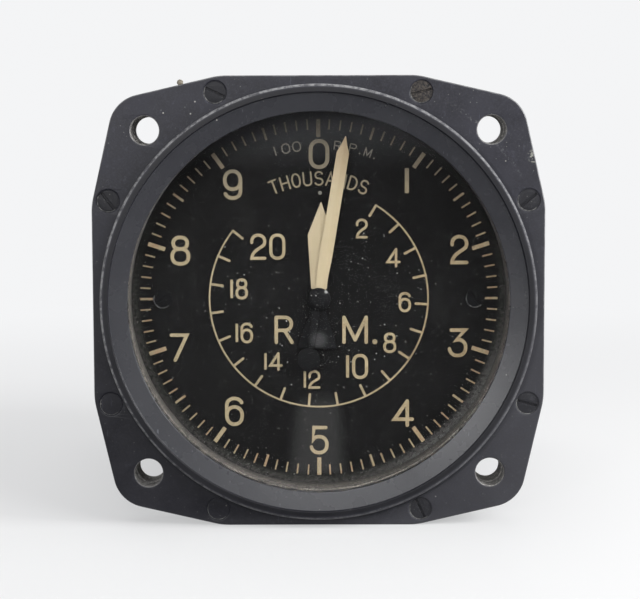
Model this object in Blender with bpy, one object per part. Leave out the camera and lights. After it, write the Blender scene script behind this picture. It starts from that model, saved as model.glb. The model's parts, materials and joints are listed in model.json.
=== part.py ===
"""Aircraft tachometer indicator, flange mounted, two coaxial pointers.

A three phase synchronous motor turns a magnet inside a drag cup. The cup is
held back by a hairspring, so it turns by an angle that follows the speed. A
wheel on its spindle drives a layshaft, which turns the long pointer through
many turns and the short pointer through less than one.

Sizes are in millimetres. A depth is counted along +Y from the front face of
the flange: what stands proud of the flange, towards the viewer, is negative.
Seen from the front X is to the right and Z is up.
"""
import bmesh
import bpy
from math import asin, atan2, cos, hypot, pi, radians, sin, tan
from mathutils import Vector
from mathutils.geometry import tessellate_polygon

MM = 0.001

# Fits
SEAT = 0.3                # gap kept where two faces seat on each other
RUN = 0.3                 # radial gap of a shaft in a bearing or a screw in its hole
PRESS = 0.12              # radial gap of a piece pushed onto its shaft

# Smoothness, in sides per circle
RIM_SEGMENTS = 48
DRUM_SEGMENTS = 28
MID_SEGMENTS = 20
HOLE_SEGMENTS = 14
SHAFT_SEGMENTS = 8
SCREW_SEGMENTS = 8

# Square flange, shared by the bezel and the case. Its width drives all that fits inside it
FLANGE_WIDTH = 82.55
FLANGE_CUT = 23.3         # from each side in to where the neighbouring side's straight middle ends
FLANGE_SLOPE = 13.0       # degrees that the side falls away towards the corner
CORNER_RADIUS = 6.5
CORNER_STEPS = 5
BLEND_RADIUS = 12.0       # where a straight middle turns into the slope
BLEND_STEPS = 2
HOLE_INSET = 9.84         # mounting holes, from the flange's sides
HOLE_RADIUS = 2.6
HOLE_STEP = 0.15          # the case's holes are narrower than the bezel's by this

# Front bezel
BEZEL_THICKNESS = 3.8
RIM_INSET = 1.575         # rim, from the flange's sides
RIM_WALL = 2.4            # rim outside to glass bore
RIM_HEIGHT = 3.02
BEAD_WIDTH = 1.6
BEAD_HEIGHT = 0.5
BEAD_STEPS = 4
LIP_OVER_GLASS = 2.2
LIP_HEIGHT = 1.75
LIP_THICKNESS = 1.05
GLASS_THICKNESS = 2.0

# Bezel screws, two on each side of the square
SCREW_OFF_RIM = 0.6
SCREW_OFF_AXIS = 26.0     # degrees away from the square's axes
SCREW_HEAD_RADIUS = 1.95
SCREW_HEAD_DEPTH = 1.25
SCREW_SUNK = 0.15
SCREW_SHANK_RADIUS = 0.9
SCREW_LENGTH = 6.8

# Glass gasket and the spacer that shows as the wall between lip and dial
GASKET_STEP = 0.5         # gasket's bore past the lip
GASKET_THICKNESS = 1.2
SPACER_STEP = 0.25        # spacer's bore past the lip

# Dial
DIAL_DEPTH = 8.8
DIAL_THICKNESS = 1.0
DIAL_BORE = 2.4
MARK_HEIGHT = 0.1
SCALE_INSET = 1.35        # outer end of the outer scale's marks, from the lip
SCALE_DIVISIONS = 100
MAJOR_LENGTH, MAJOR_WIDTH = 3.35, 0.85
HALF_LENGTH, HALF_WIDTH = 2.4, 0.5
ARC_INSET = 13.0          # inner scale's line, from the outer scale's end
ARC_WIDTH = 0.3
ARC_MARK_LENGTH, ARC_MARK_WIDTH = 2.5, 0.45
ARC_FIRST_NUMBER, ARC_LAST_NUMBER = 2, 20
ARC_ZERO = 0.85           # where the inner scale's zero would be, degrees clockwise from the top
DIAL_SCREW_INSET = 4.25   # dial screws, from the outer scale's end
DIAL_SCREW_HEAD = 1.7
DIAL_SCREW_HEIGHT = 0.6
DIAL_SCREW_SHANK = 0.6

# Gear train
WHEEL_TEETH = 52
PINION_TEETH = 10
LAY_WHEEL_TEETH = 45
WHEEL_MODULE = 0.35
TOOTH_RISE = 0.7          # tooth height above the pitch circle, in modules
TOOTH_FALL = 1.05         # depth below the pitch circle, in modules
WHEEL_THICKNESS = 1.0
PINION_EXTRA = 0.2        # pinions stand this far past each face of their wheel
PINION_ARBOR = 0.9        # layshaft radius
ARBOR_RADIUS = 0.65
PIPE_WALL = 0.45
POINTER_REST_LONG = 9.5   # degrees clockwise from the top
POINTER_REST_SHORT = 1.5

# Pointers
LONG_OVER = 0.55          # the long pointer's tip reaches this far over the long strokes
LONG_POINT = 3.05         # length of the pointed end
LONG_WIDTH = 2.3
LONG_NECK = 1.1
LONG_WEIGHT_PLACE = 11.5
LONG_WEIGHT_RADIUS = 2.2
HUB_RADIUS = 2.15
HUB_HEIGHT = 0.8
HUB_STEP = 0.25           # the dome on the hub is narrower than the hub by this
SHORT_CLEAR = 2.4         # from the short pointer's tip to the inner scale's line
SHORT_POINT = 6.15
SHORT_WIDEST = 4.7
SHORT_ROOT_WIDTH = 3.0
SHORT_TAIL = 9.4
SHORT_TAIL_WIDTH = 7.6
SHORT_NECK = 2.0
POINTER_THICKNESS = 0.4
POINTER_GAP = 0.4
SHORT_OVER_DIAL = 0.7

# Frame of the movement
PLATE_THICKNESS = 2.0
PLATE_PLAY = 0.1          # plates and dial are smaller than the glass by this
PILLAR_INSET = 5.9        # pillars, from the plates' edge
PILLAR_RADIUS = 2.4
SPIGOT_RADIUS = 1.2
BUSH_WALL = 1.3
BUSH_COLLAR = 0.5
BUSH_COLLAR_WIDTH = 1.0
BRIDGE_ARM = 3.2
BRIDGE_POST_BACK = 6.5    # the two posts left of the centre
BRIDGE_POST_SIDE = 12.5
BRIDGE_POST_FAR = 13.2    # the third post, beyond the layshaft
GAP_BUSH_WHEEL = 0.4
GAP_WHEELS = 1.5
GAP_SPRING = 2.0
SPRING_HEIGHT = 0.8
SPRING_THICKNESS = 0.25
SPRING_TURNS = 4.5
SPRING_STEPS = 12         # per turn
SPRING_RADIUS = 8.4
COLLET_RADIUS = 1.7
STUD_RADIUS = 0.8

# Drag element and magnet
CUP_RADIUS = 13.6
CUP_WALL = 0.6
CUP_LENGTH = 12.0
CUP_FLOOR = 0.8
CUP_HUB_RADIUS = 2.4
CUP_HUB_LENGTH = 2.4
GAP_PLATE_CUP = 1.8
AIR_GAP = 0.5
MAGNET_LENGTH = 10.4
FLUX_WALL = 2.0

# Motor
SHAFT_RADIUS = 1.8
SHIELD_THICKNESS = 3.0
SHIELD_PLAY = 0.6
SHIELD_RIM = 1.7
BEARING_RADIUS = 6.5
BEARING_WIDTH = 4.0
BEARING_BOSS = 1.4
GAP_DRUM_SHIELD = 2.0
STATOR_OFF_RODS = 1.6
STATOR_LENGTH = 16.0
STATOR_BORE = 12.2
STATOR_BACK_IRON = 6.0
SLOTS = 12
SLOT_SHARE = 0.45         # part of each pitch that is slot, at the slot's floor
WINDING_LENGTH = 4.5
WINDING_INSET = 2.4       # winding ends, from the stator's outside
WINDING_WIDTH = 9.1
ROD_RADIUS = 1.6
ROD_NUT_RADIUS = 2.8
ROD_NUT_LENGTH = 2.2
WINDOW_INSET = 3.3        # lead windows, from the shield's rim
WINDOW_RADIUS = 3.0

# Case
CASE_FLANGE_THICKNESS = 5.4
DRUM_FRONT_WALL = 1.2     # wall round the plates
DRUM_WALL = 2.5
BACK_WALL = 2.5
BACK_CHAMFER = 1.5
BACK_ROOM = 9.0           # from the end of the motor's rods to the back wall

# Connector
CONNECTOR_FLANGE = 27.0
CONNECTOR_CORNER = 3.0
CONNECTOR_FLANGE_THICKNESS = 2.2
CONNECTOR_RADIUS = 10.0
CONNECTOR_WALL = 1.5
CONNECTOR_LENGTH = 10.0
INSULATOR_RADIUS = 7.1
INSULATOR_PAST_FLANGE = 1.0
PIN_RADIUS = 0.9
PIN_PLACE = 3.8
PIN_LENGTH_OUT = 4.0
PIN_LENGTH_IN = 2.0
LEAD_RADIUS = 0.5

# Radii and places that follow
RIM_RADIUS = FLANGE_WIDTH / 2 - RIM_INSET
GLASS_BORE = RIM_RADIUS - RIM_WALL
GLASS_RADIUS = GLASS_BORE - SEAT
LIP_RADIUS = GLASS_RADIUS - LIP_OVER_GLASS
GASKET_BORE = LIP_RADIUS + GASKET_STEP
SPACER_BORE = LIP_RADIUS + SPACER_STEP
SCALE_RADIUS = LIP_RADIUS - SCALE_INSET
ARC_RADIUS = SCALE_RADIUS - ARC_INSET
DIAL_SCREW_PLACE = SCALE_RADIUS - DIAL_SCREW_INSET
LONG_TIP = SCALE_RADIUS - MAJOR_LENGTH + LONG_OVER
LONG_SHOULDER = LONG_TIP - LONG_POINT
SHORT_TIP = ARC_RADIUS - SHORT_CLEAR
SHORT_WIDEST_PLACE = SHORT_TIP - SHORT_POINT
PLATE_RADIUS = GLASS_RADIUS - PLATE_PLAY
PILLAR_PLACE = PLATE_RADIUS - PILLAR_INSET
CASE_BORE = GLASS_BORE
DRUM_RADIUS = CASE_BORE + DRUM_FRONT_WALL
CASE_INSIDE = DRUM_RADIUS - DRUM_WALL
SCREW_HOLE = SCREW_SHANK_RADIUS + RUN
SCREW_RECESS = SCREW_HEAD_RADIUS + SEAT
SCREW_CIRCLE = RIM_RADIUS + SCREW_RECESS + SCREW_OFF_RIM
CASE_HOLE_RADIUS = HOLE_RADIUS - HOLE_STEP
PIPE_BORE = ARBOR_RADIUS + RUN
PIPE_RADIUS = PIPE_BORE + PIPE_WALL
BUSH_BORE = PIPE_RADIUS + RUN
BUSH_RADIUS = BUSH_BORE + BUSH_WALL
BRIDGE_BUSH_BORE = ARBOR_RADIUS + RUN
BRIDGE_BUSH_RADIUS = BRIDGE_BUSH_BORE + BUSH_WALL
MAGNET_RADIUS = CUP_RADIUS - CUP_WALL - AIR_GAP
FLUX_BORE = CUP_RADIUS + AIR_GAP
ROTOR_RADIUS = STATOR_BORE - AIR_GAP
STATOR_RADIUS = PILLAR_PLACE - PILLAR_RADIUS - STATOR_OFF_RODS
SLOT_RADIUS = STATOR_RADIUS - STATOR_BACK_IRON
SHIELD_RADIUS = CASE_INSIDE - SHIELD_PLAY
WINDING_OUT = STATOR_RADIUS - WINDING_INSET
WINDING_IN = WINDING_OUT - WINDING_WIDTH
WINDOW_PLACE = STATOR_RADIUS - SHIELD_RIM - WINDOW_RADIUS - WINDOW_INSET

# Gears that follow
CENTRE_DISTANCE = WHEEL_MODULE * (WHEEL_TEETH + PINION_TEETH) / 2
LAY_MODULE = 2 * CENTRE_DISTANCE / (LAY_WHEEL_TEETH + PINION_TEETH)

# Depths that follow, front to back
LIP_BACK = LIP_THICKNESS - LIP_HEIGHT
GLASS_FRONT = LIP_BACK + SEAT
GLASS_BACK = GLASS_FRONT + GLASS_THICKNESS
GASKET_FRONT = GLASS_BACK + SEAT
GASKET_BACK = GASKET_FRONT + GASKET_THICKNESS
SPACER_FRONT = GASKET_BACK + SEAT
SPACER_BACK = DIAL_DEPTH - SEAT
CASE_FRONT = BEZEL_THICKNESS + SEAT
CASE_FLANGE_BACK = CASE_FRONT + CASE_FLANGE_THICKNESS
SHORT_BACK = DIAL_DEPTH - SHORT_OVER_DIAL
SHORT_FRONT = SHORT_BACK - POINTER_THICKNESS
LONG_BACK = SHORT_FRONT - POINTER_GAP
LONG_FRONT = LONG_BACK - POINTER_THICKNESS
PIPE_FRONT = LONG_BACK + SEAT
PLATE_FRONT = DIAL_DEPTH + DIAL_THICKNESS + SEAT
PLATE_BACK = PLATE_FRONT + PLATE_THICKNESS
SHOULDER = PLATE_BACK + SEAT
BUSH_BACK = PLATE_BACK + SEAT + BUSH_COLLAR
PIPE_WHEEL = BUSH_BACK + GAP_BUSH_WHEEL
LAY_WHEEL = PIPE_WHEEL + WHEEL_THICKNESS + GAP_WHEELS
BRIDGE_FRONT = LAY_WHEEL + WHEEL_THICKNESS + GAP_WHEELS
BRIDGE_BACK = BRIDGE_FRONT + PLATE_THICKNESS
SPINDLE_WHEEL = BRIDGE_BACK + GAP_WHEELS
SPRING_FRONT = SPINDLE_WHEEL + WHEEL_THICKNESS + GAP_SPRING
SPRING_BACK = SPRING_FRONT + SPRING_HEIGHT
SPINDLE_PLATE = SPRING_BACK + GAP_SPRING
SPINDLE_PLATE_BACK = SPINDLE_PLATE + PLATE_THICKNESS
CUP_FRONT = SPINDLE_PLATE_BACK + GAP_PLATE_CUP
CUP_INSIDE = CUP_FRONT + CUP_FLOOR
CUP_BACK = CUP_FRONT + CUP_LENGTH
CUP_HUB_BACK = CUP_INSIDE + CUP_HUB_LENGTH
MAGNET_FRONT = CUP_HUB_BACK + AIR_GAP
MAGNET_BACK = MAGNET_FRONT + MAGNET_LENGTH
FLUX_FLOOR = MAGNET_BACK + SEAT
FLUX_BACK = FLUX_FLOOR + FLUX_WALL
FLUX_FRONT = CUP_INSIDE + AIR_GAP
SHIELD_FRONT = FLUX_BACK + GAP_DRUM_SHIELD
SHIELD_BACK = SHIELD_FRONT + SHIELD_THICKNESS
WINDING_FRONT = SHIELD_BACK + BEARING_BOSS
STATOR_FRONT = WINDING_FRONT + WINDING_LENGTH + SEAT
STATOR_BACK = STATOR_FRONT + STATOR_LENGTH
REAR_WINDING = STATOR_BACK + SEAT
REAR_SHIELD = REAR_WINDING + WINDING_LENGTH + BEARING_BOSS
REAR_SHIELD_BACK = REAR_SHIELD + SHIELD_THICKNESS
ROD_BACK = REAR_SHIELD_BACK + SEAT + ROD_NUT_LENGTH
INSIDE_BACK = ROD_BACK + BACK_ROOM
CASE_BACK = INSIDE_BACK + BACK_WALL
CONNECTOR_SEAT = CASE_BACK + SEAT
CONNECTOR_FLANGE_BACK = CONNECTOR_SEAT + CONNECTOR_FLANGE_THICKNESS
CONNECTOR_BACK = CONNECTOR_FLANGE_BACK + CONNECTOR_LENGTH
INSULATOR_BACK = CONNECTOR_FLANGE_BACK + INSULATOR_PAST_FLANGE
MIDDLE = (CONNECTOR_BACK - RIM_HEIGHT) / 2     # the origin's depth

# Materials: base colour, metallic, roughness
MATERIALS = {
    "black_paint": ((0.048, 0.050, 0.060), 0.0, 0.42),
    "case_paint": ((0.040, 0.041, 0.044), 0.0, 0.55),
    "blackened_steel": ((0.060, 0.060, 0.066), 0.6, 0.45),
    "clear_glass": ((0.92, 0.95, 0.95), 0.0, 0.04),
    "gasket_rubber": ((0.030, 0.029, 0.028), 0.0, 0.85),
    "spacer_paint": ((0.17, 0.145, 0.125), 0.0, 0.75),
    "dial_paint": ((0.016, 0.016, 0.017), 0.0, 0.80),
    "pointer_paint": ((0.70, 0.61, 0.41), 0.0, 0.60),
    "frame_brass": ((0.60, 0.45, 0.20), 1.0, 0.35),
    "gear_brass": ((0.70, 0.53, 0.24), 1.0, 0.28),
    "polished_steel": ((0.55, 0.55, 0.56), 1.0, 0.25),
    "spring_bronze": ((0.62, 0.42, 0.22), 1.0, 0.30),
    "cup_copper": ((0.72, 0.36, 0.22), 1.0, 0.32),
    "magnet_steel": ((0.22, 0.22, 0.23), 0.8, 0.45),
    "drum_iron": ((0.30, 0.30, 0.31), 0.9, 0.50),
    "shield_aluminium": ((0.62, 0.63, 0.64), 1.0, 0.42),
    "core_iron": ((0.20, 0.19, 0.19), 0.7, 0.55),
    "winding_enamel": ((0.36, 0.12, 0.05), 0.2, 0.45),
    "connector_metal": ((0.50, 0.50, 0.50), 1.0, 0.45),
    "insulator_plastic": ((0.05, 0.03, 0.025), 0.0, 0.50),
    "pin_gold": ((0.80, 0.60, 0.25), 1.0, 0.25),
    "lead_sleeve": ((0.45, 0.42, 0.34), 0.0, 0.70),
}


def clear_scene():
    for old in list(bpy.data.objects):
        bpy.data.objects.remove(old, do_unlink=True)


def material(name):
    found = bpy.data.materials.get(name)
    if found:
        return found
    colour, metallic, roughness = MATERIALS[name]
    new = bpy.data.materials.new(name)
    new.use_nodes = True
    shader = new.node_tree.nodes["Principled BSDF"]
    shader.inputs["Base Color"].default_value = (*colour, 1.0)
    shader.inputs["Metallic"].default_value = metallic
    shader.inputs["Roughness"].default_value = roughness
    if name == "clear_glass":
        shader.inputs["Transmission Weight"].default_value = 1.0
    return new


# Outlines, as lists of (x, z)

def circle(radius, sides, x=0.0, z=0.0, turn=0.0):
    step = 2 * pi / sides
    return [(x + radius * cos(turn + i * step), z + radius * sin(turn + i * step))
            for i in range(sides)]


def arc(radius, start, end, steps, x=0.0, z=0.0):
    return [(x + radius * cos(start + (end - start) * i / steps),
             z + radius * sin(start + (end - start) * i / steps))
            for i in range(steps + 1)]


def flange_outline():
    """A square whose sides are straight in the middle and fall away to round corners."""
    half, slope = FLANGE_WIDTH / 2, radians(FLANGE_SLOPE)
    flat = half - FLANGE_CUT
    run = (half - flat) / (cos(slope) + sin(slope))
    tip = flat + run * cos(slope)
    turn = pi / 4 - slope
    centre = tip - CORNER_RADIUS / cos(turn) / 2 ** 0.5
    bend, blend = flat - BLEND_RADIUS * tan(slope / 2), half - BLEND_RADIUS
    quarter = arc(BLEND_RADIUS, 0, slope, BLEND_STEPS, blend, bend)
    quarter += arc(CORNER_RADIUS, slope, pi / 2 - slope, CORNER_STEPS, centre, centre)
    quarter += arc(BLEND_RADIUS, pi / 2 - slope, pi / 2, BLEND_STEPS, bend, blend)
    points = []
    for i in range(4):
        for x, z in quarter:
            for _ in range(i):
                x, z = -z, x
            points.append((x, z))
    return points


def rounded_square(width, corner, steps=3):
    inner = width / 2 - corner
    points = []
    for i in range(4):
        a = i * pi / 2
        x, z = (inner if i in (0, 3) else -inner), (inner if i in (0, 1) else -inner)
        points += arc(corner, a, a + pi / 2, steps, x, z)
    return points


def gear(teeth, module, x=0.0, z=0.0, towards=0.0, gap=False):
    """Gear outline with a tooth, or a gap, centred on the given direction."""
    pitch = module * teeth / 2
    top, root = pitch + TOOTH_RISE * module, pitch - TOOTH_FALL * module
    step = 2 * pi / teeth
    start = towards + (step / 2 if gap else 0.0)
    tip_half, root_half = tooth_halves(teeth)
    points = []
    for i in range(teeth):
        a = start + i * step
        for r, b in ((root, -root_half), (top, -tip_half), (top, tip_half), (root, root_half)):
            points.append((x + r * cos(a + b * step), z + r * sin(a + b * step)))
    return points


def tooth_halves(teeth):
    """Half widths of a tooth at its tip and at its root, as shares of the pitch."""
    return (0.09, 0.24) if teeth > 2 * PINION_TEETH else (0.09, 0.22)


def hull_of_discs(places, radius, steps):
    """Outline of a belt laid round equal discs, given in order, anticlockwise."""
    points = []
    count = len(places)
    for i in range(count):
        before, here, after = places[i - 1], places[i], places[(i + 1) % count]
        a = atan2(here[1] - before[1], here[0] - before[0]) - pi / 2
        b = atan2(after[1] - here[1], after[0] - here[0]) - pi / 2
        while b < a:
            b += 2 * pi
        points += arc(radius, a, b, steps, *here)
    return points


def turned_outline(points, clockwise_degrees):
    """Turns an outline drawn with its pointer upwards, clockwise seen from the front."""
    a = radians(clockwise_degrees)
    return [(x * cos(a) + z * sin(a), z * cos(a) - x * sin(a)) for x, z in points]


def around(count, radius, first_degrees):
    return [(radius * cos(radians(first_degrees + 360 / count * i)),
             radius * sin(radians(first_degrees + 360 / count * i))) for i in range(count)]


class Skin:
    """A closed surface put together from outlines that lie at given depths."""

    def __init__(self, x=0.0, z=0.0):
        self.mesh = bmesh.new()
        self.x, self.z = x, z

    def ring(self, outline, depth):
        return [self.mesh.verts.new(((x - self.x) * MM, (depth - MIDDLE) * MM, (z - self.z) * MM))
                for x, z in outline]

    def wall(self, front, back):
        for i in range(len(front)):
            j = (i + 1) % len(front)
            self.mesh.faces.new((front[i], front[j], back[j], back[i]))

    def walls(self, rings):
        for front, back in zip(rings, rings[1:]):
            self.wall(front, back)

    def face(self, outer, *holes):
        if not holes:
            self.mesh.faces.new(outer)
            return
        loops = [outer, *holes]
        flat = [[Vector((v.co.x, v.co.z, 0.0)) / MM for v in loop] for loop in loops]
        verts = [v for loop in loops for v in loop]
        for a, b, c in tessellate_polygon(flat):
            self.mesh.faces.new((verts[a], verts[b], verts[c]))

    def done(self, name, material_name, sharp=35.0):
        bmesh.ops.recalc_face_normals(self.mesh, faces=self.mesh.faces)
        data = bpy.data.meshes.new(name)
        self.mesh.to_mesh(data)
        self.mesh.free()
        data.shade_smooth()
        data.set_sharp_from_angle(angle=radians(sharp))
        made = bpy.data.objects.new(name, data)
        made.location = (self.x * MM, 0.0, self.z * MM)
        made.data.materials.append(material(material_name))
        bpy.context.scene.collection.objects.link(made)
        return made


def turned(name, material_name, profile, sides, x=0.0, z=0.0, turn=0.0):
    """A turned piece. Its closed profile is a list of (radius, depth)."""
    skin = Skin(x, z)
    rings = []
    for radius, depth in profile:
        if radius == 0:
            rings.append(skin.ring([(x, z)], depth))
        else:
            rings.append(skin.ring(circle(radius, sides, x, z, turn), depth))
    for a, b in zip(rings, rings[1:] + rings[:1]):
        if len(a) == 1 and len(b) == 1:
            continue
        if len(a) == 1 or len(b) == 1:
            pole, ring = (a[0], b) if len(a) == 1 else (b[0], a)
            for i in range(sides):
                skin.mesh.faces.new((pole, ring[i], ring[(i + 1) % sides]))
        else:
            skin.wall(a, b)
    return skin.done(name, material_name)


def spread(outline, x, z):
    radii = [hypot(px - x, pz - z) for px, pz in outline]
    return min(radii), max(radii)


def staged(name, material_name, stages, bore=0.0, x=0.0, z=0.0):
    """A shaft of stages, each an outline with the depth it starts and ends at.

    The stages follow on from each other, and may be toothed or round.
    """
    skin = Skin(x, z)
    rings = [(skin.ring(outline, start), skin.ring(outline, end)) for outline, start, end in stages]
    for front, back in rings:
        skin.wall(front, back)
    for i in range(len(stages) - 1):
        this, following = rings[i][1], rings[i + 1][0]
        if spread(stages[i][0], x, z)[0] > spread(stages[i + 1][0], x, z)[1]:
            skin.face(this, following)
        else:
            skin.face(following, this)
    first, last = rings[0][0], rings[-1][1]
    if bore:
        front = skin.ring(circle(bore, SHAFT_SEGMENTS, x, z), stages[0][1])
        back = skin.ring(circle(bore, SHAFT_SEGMENTS, x, z), stages[-1][2])
        skin.face(first, front)
        skin.face(last, back)
        skin.wall(front, back)
    else:
        skin.face(first)
        skin.face(last)
    return skin.done(name, material_name)


# Places shared by several pieces, as (x, z)
HALF_SPACING = FLANGE_WIDTH / 2 - HOLE_INSET
MOUNT_PLACES = [(sx * HALF_SPACING, sz * HALF_SPACING) for sx, sz in ((-1, 1), (1, 1), (-1, -1), (1, -1))]
SCREW_PLACES = [(SCREW_CIRCLE * sin(radians(a)), SCREW_CIRCLE * cos(radians(a)))
                for q in range(4) for a in (90 * q - SCREW_OFF_AXIS, 90 * q + SCREW_OFF_AXIS)]
DIAL_SCREW_PLACES = [(-DIAL_SCREW_PLACE, 0.0), (DIAL_SCREW_PLACE, 0.0)]
PILLAR_PLACES = around(3, PILLAR_PLACE, 90)
ROD_PLACES = around(3, PILLAR_PLACE, 30)
WINDOW_PLACES = around(3, WINDOW_PLACE, 90)
PIN_PLACES = around(3, PIN_PLACE, 90)
LAY = (CENTRE_DISTANCE, 0.0)
BRIDGE_POSTS = [(-BRIDGE_POST_BACK, -BRIDGE_POST_SIDE), (LAY[0] + BRIDGE_POST_FAR, 0.0),
                (-BRIDGE_POST_BACK, BRIDGE_POST_SIDE)]
PIVOT_HOLE = PINION_ARBOR + RUN
SPIGOT_HOLE = SPIGOT_RADIUS + SEAT


# Outside pieces

def build_bezel():
    skin = Skin()
    outline = flange_outline()
    front, back = skin.ring(outline, 0.0), skin.ring(outline, BEZEL_THICKNESS)
    skin.wall(front, back)
    # rounded bead, band falling to the lip, glass bore behind it
    bead_base = RIM_HEIGHT - BEAD_HEIGHT
    bead_middle = RIM_RADIUS - BEAD_WIDTH / 2
    profile = [(RIM_RADIUS, 0.0)]
    profile += [(bead_middle + BEAD_WIDTH / 2 * cos(pi * i / BEAD_STEPS),
                 -bead_base - BEAD_HEIGHT * sin(pi * i / BEAD_STEPS)) for i in range(BEAD_STEPS + 1)]
    profile += [(LIP_RADIUS, -LIP_HEIGHT), (LIP_RADIUS, LIP_BACK),
                (GLASS_BORE, LIP_BACK), (GLASS_BORE, BEZEL_THICKNESS)]
    rings = [skin.ring(circle(r, RIM_SEGMENTS), d) for r, d in profile]
    skin.walls(rings)
    front_holes, back_holes = [rings[0]], [rings[-1]]
    for x, z in MOUNT_PLACES:
        hole = circle(HOLE_RADIUS, HOLE_SEGMENTS, x, z)
        pair = [skin.ring(hole, 0.0), skin.ring(hole, BEZEL_THICKNESS)]
        skin.walls(pair)
        front_holes.append(pair[0])
        back_holes.append(pair[1])
    for x, z in SCREW_PLACES:
        mouth = skin.ring(circle(SCREW_RECESS, SCREW_SEGMENTS, x, z), 0.0)
        neck = skin.ring(circle(SCREW_HOLE, SCREW_SEGMENTS, x, z), SCREW_SUNK + SCREW_HEAD_DEPTH + SEAT / 2)
        end = skin.ring(circle(SCREW_HOLE, SCREW_SEGMENTS, x, z), BEZEL_THICKNESS)
        skin.walls([mouth, neck, end])
        front_holes.append(mouth)
        back_holes.append(end)
    skin.face(front, *front_holes)
    skin.face(back, *back_holes)
    skin.done("front_bezel", "black_paint")


def build_bezel_screws():
    for number, (x, z) in enumerate(SCREW_PLACES, 1):
        turned(f"bezel_screw_{number}", "blackened_steel",
               [(0, SCREW_SUNK), (SCREW_HEAD_RADIUS, SCREW_SUNK),
                (SCREW_SHANK_RADIUS, SCREW_SUNK + SCREW_HEAD_DEPTH),
                (SCREW_SHANK_RADIUS, SCREW_LENGTH), (0, SCREW_LENGTH)], SCREW_SEGMENTS, x, z)


def build_case():
    skin = Skin()
    outline = flange_outline()
    front, back = skin.ring(outline, CASE_FRONT), skin.ring(outline, CASE_FLANGE_BACK)
    skin.wall(front, back)
    front_holes, back_holes = [], []
    for x, z in MOUNT_PLACES:
        hole = circle(CASE_HOLE_RADIUS, HOLE_SEGMENTS, x, z)
        pair = [skin.ring(hole, CASE_FRONT), skin.ring(hole, CASE_FLANGE_BACK)]
        skin.walls(pair)
        front_holes.append(pair[0])
        back_holes.append(pair[1])
    for x, z in SCREW_PLACES:
        mouth = skin.ring(circle(SCREW_HOLE, SCREW_SEGMENTS, x, z), CASE_FRONT)
        floor = skin.ring(circle(SCREW_HOLE, SCREW_SEGMENTS, x, z), SCREW_LENGTH + SEAT)
        skin.wall(mouth, floor)
        skin.face(floor)
        front_holes.append(mouth)
    connector_hole = INSULATOR_RADIUS + SEAT + CONNECTOR_WALL / 2 + SEAT
    profile = [(DRUM_RADIUS, CASE_FLANGE_BACK), (DRUM_RADIUS, CASE_BACK - BACK_CHAMFER),
               (DRUM_RADIUS - BACK_CHAMFER, CASE_BACK), (connector_hole, CASE_BACK),
               (connector_hole, INSIDE_BACK), (CASE_INSIDE, INSIDE_BACK), (CASE_INSIDE, SHOULDER),
               (CASE_BORE, SHOULDER), (CASE_BORE, CASE_FRONT)]
    rings = [skin.ring(circle(r, RIM_SEGMENTS), d) for r, d in profile]
    skin.walls(rings)
    skin.face(front, rings[-1], *front_holes)
    skin.face(back, rings[0], *back_holes)
    skin.done("case", "case_paint")


def build_window():
    turned("cover_glass", "clear_glass",
           [(0, GLASS_FRONT), (GLASS_RADIUS, GLASS_FRONT), (GLASS_RADIUS, GLASS_BACK), (0, GLASS_BACK)],
           RIM_SEGMENTS)
    turned("glass_gasket", "gasket_rubber",
           [(GASKET_BORE, GASKET_FRONT), (GLASS_RADIUS, GASKET_FRONT),
            (GLASS_RADIUS, GASKET_BACK), (GASKET_BORE, GASKET_BACK)],
           DRUM_SEGMENTS)
    turned("dial_spacer", "spacer_paint",
           [(SPACER_BORE, SPACER_FRONT), (GLASS_RADIUS, SPACER_FRONT),
            (GLASS_RADIUS, SPACER_BACK), (SPACER_BORE, SPACER_BACK)], RIM_SEGMENTS)


def build_dial():
    skin = Skin()
    outline = circle(PLATE_RADIUS, RIM_SEGMENTS)
    front, back = skin.ring(outline, DIAL_DEPTH), skin.ring(outline, DIAL_DEPTH + DIAL_THICKNESS)
    skin.wall(front, back)
    front_holes, back_holes = [], []
    holes = [circle(DIAL_BORE, HOLE_SEGMENTS)]
    holes += [circle(DIAL_SCREW_SHANK + RUN, SCREW_SEGMENTS, x, z) for x, z in DIAL_SCREW_PLACES]
    for hole in holes:
        pair = [skin.ring(hole, DIAL_DEPTH), skin.ring(hole, DIAL_DEPTH + DIAL_THICKNESS)]
        skin.walls(pair)
        front_holes.append(pair[0])
        back_holes.append(pair[1])
    for mark in dial_marks():
        foot, top = skin.ring(mark, DIAL_DEPTH), skin.ring(mark, DIAL_DEPTH - MARK_HEIGHT)
        skin.wall(foot, top)
        skin.face(top)
        front_holes.append(foot)
    skin.face(front, *front_holes)
    skin.face(back, *back_holes)
    skin.done("dial", "dial_paint")


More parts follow.
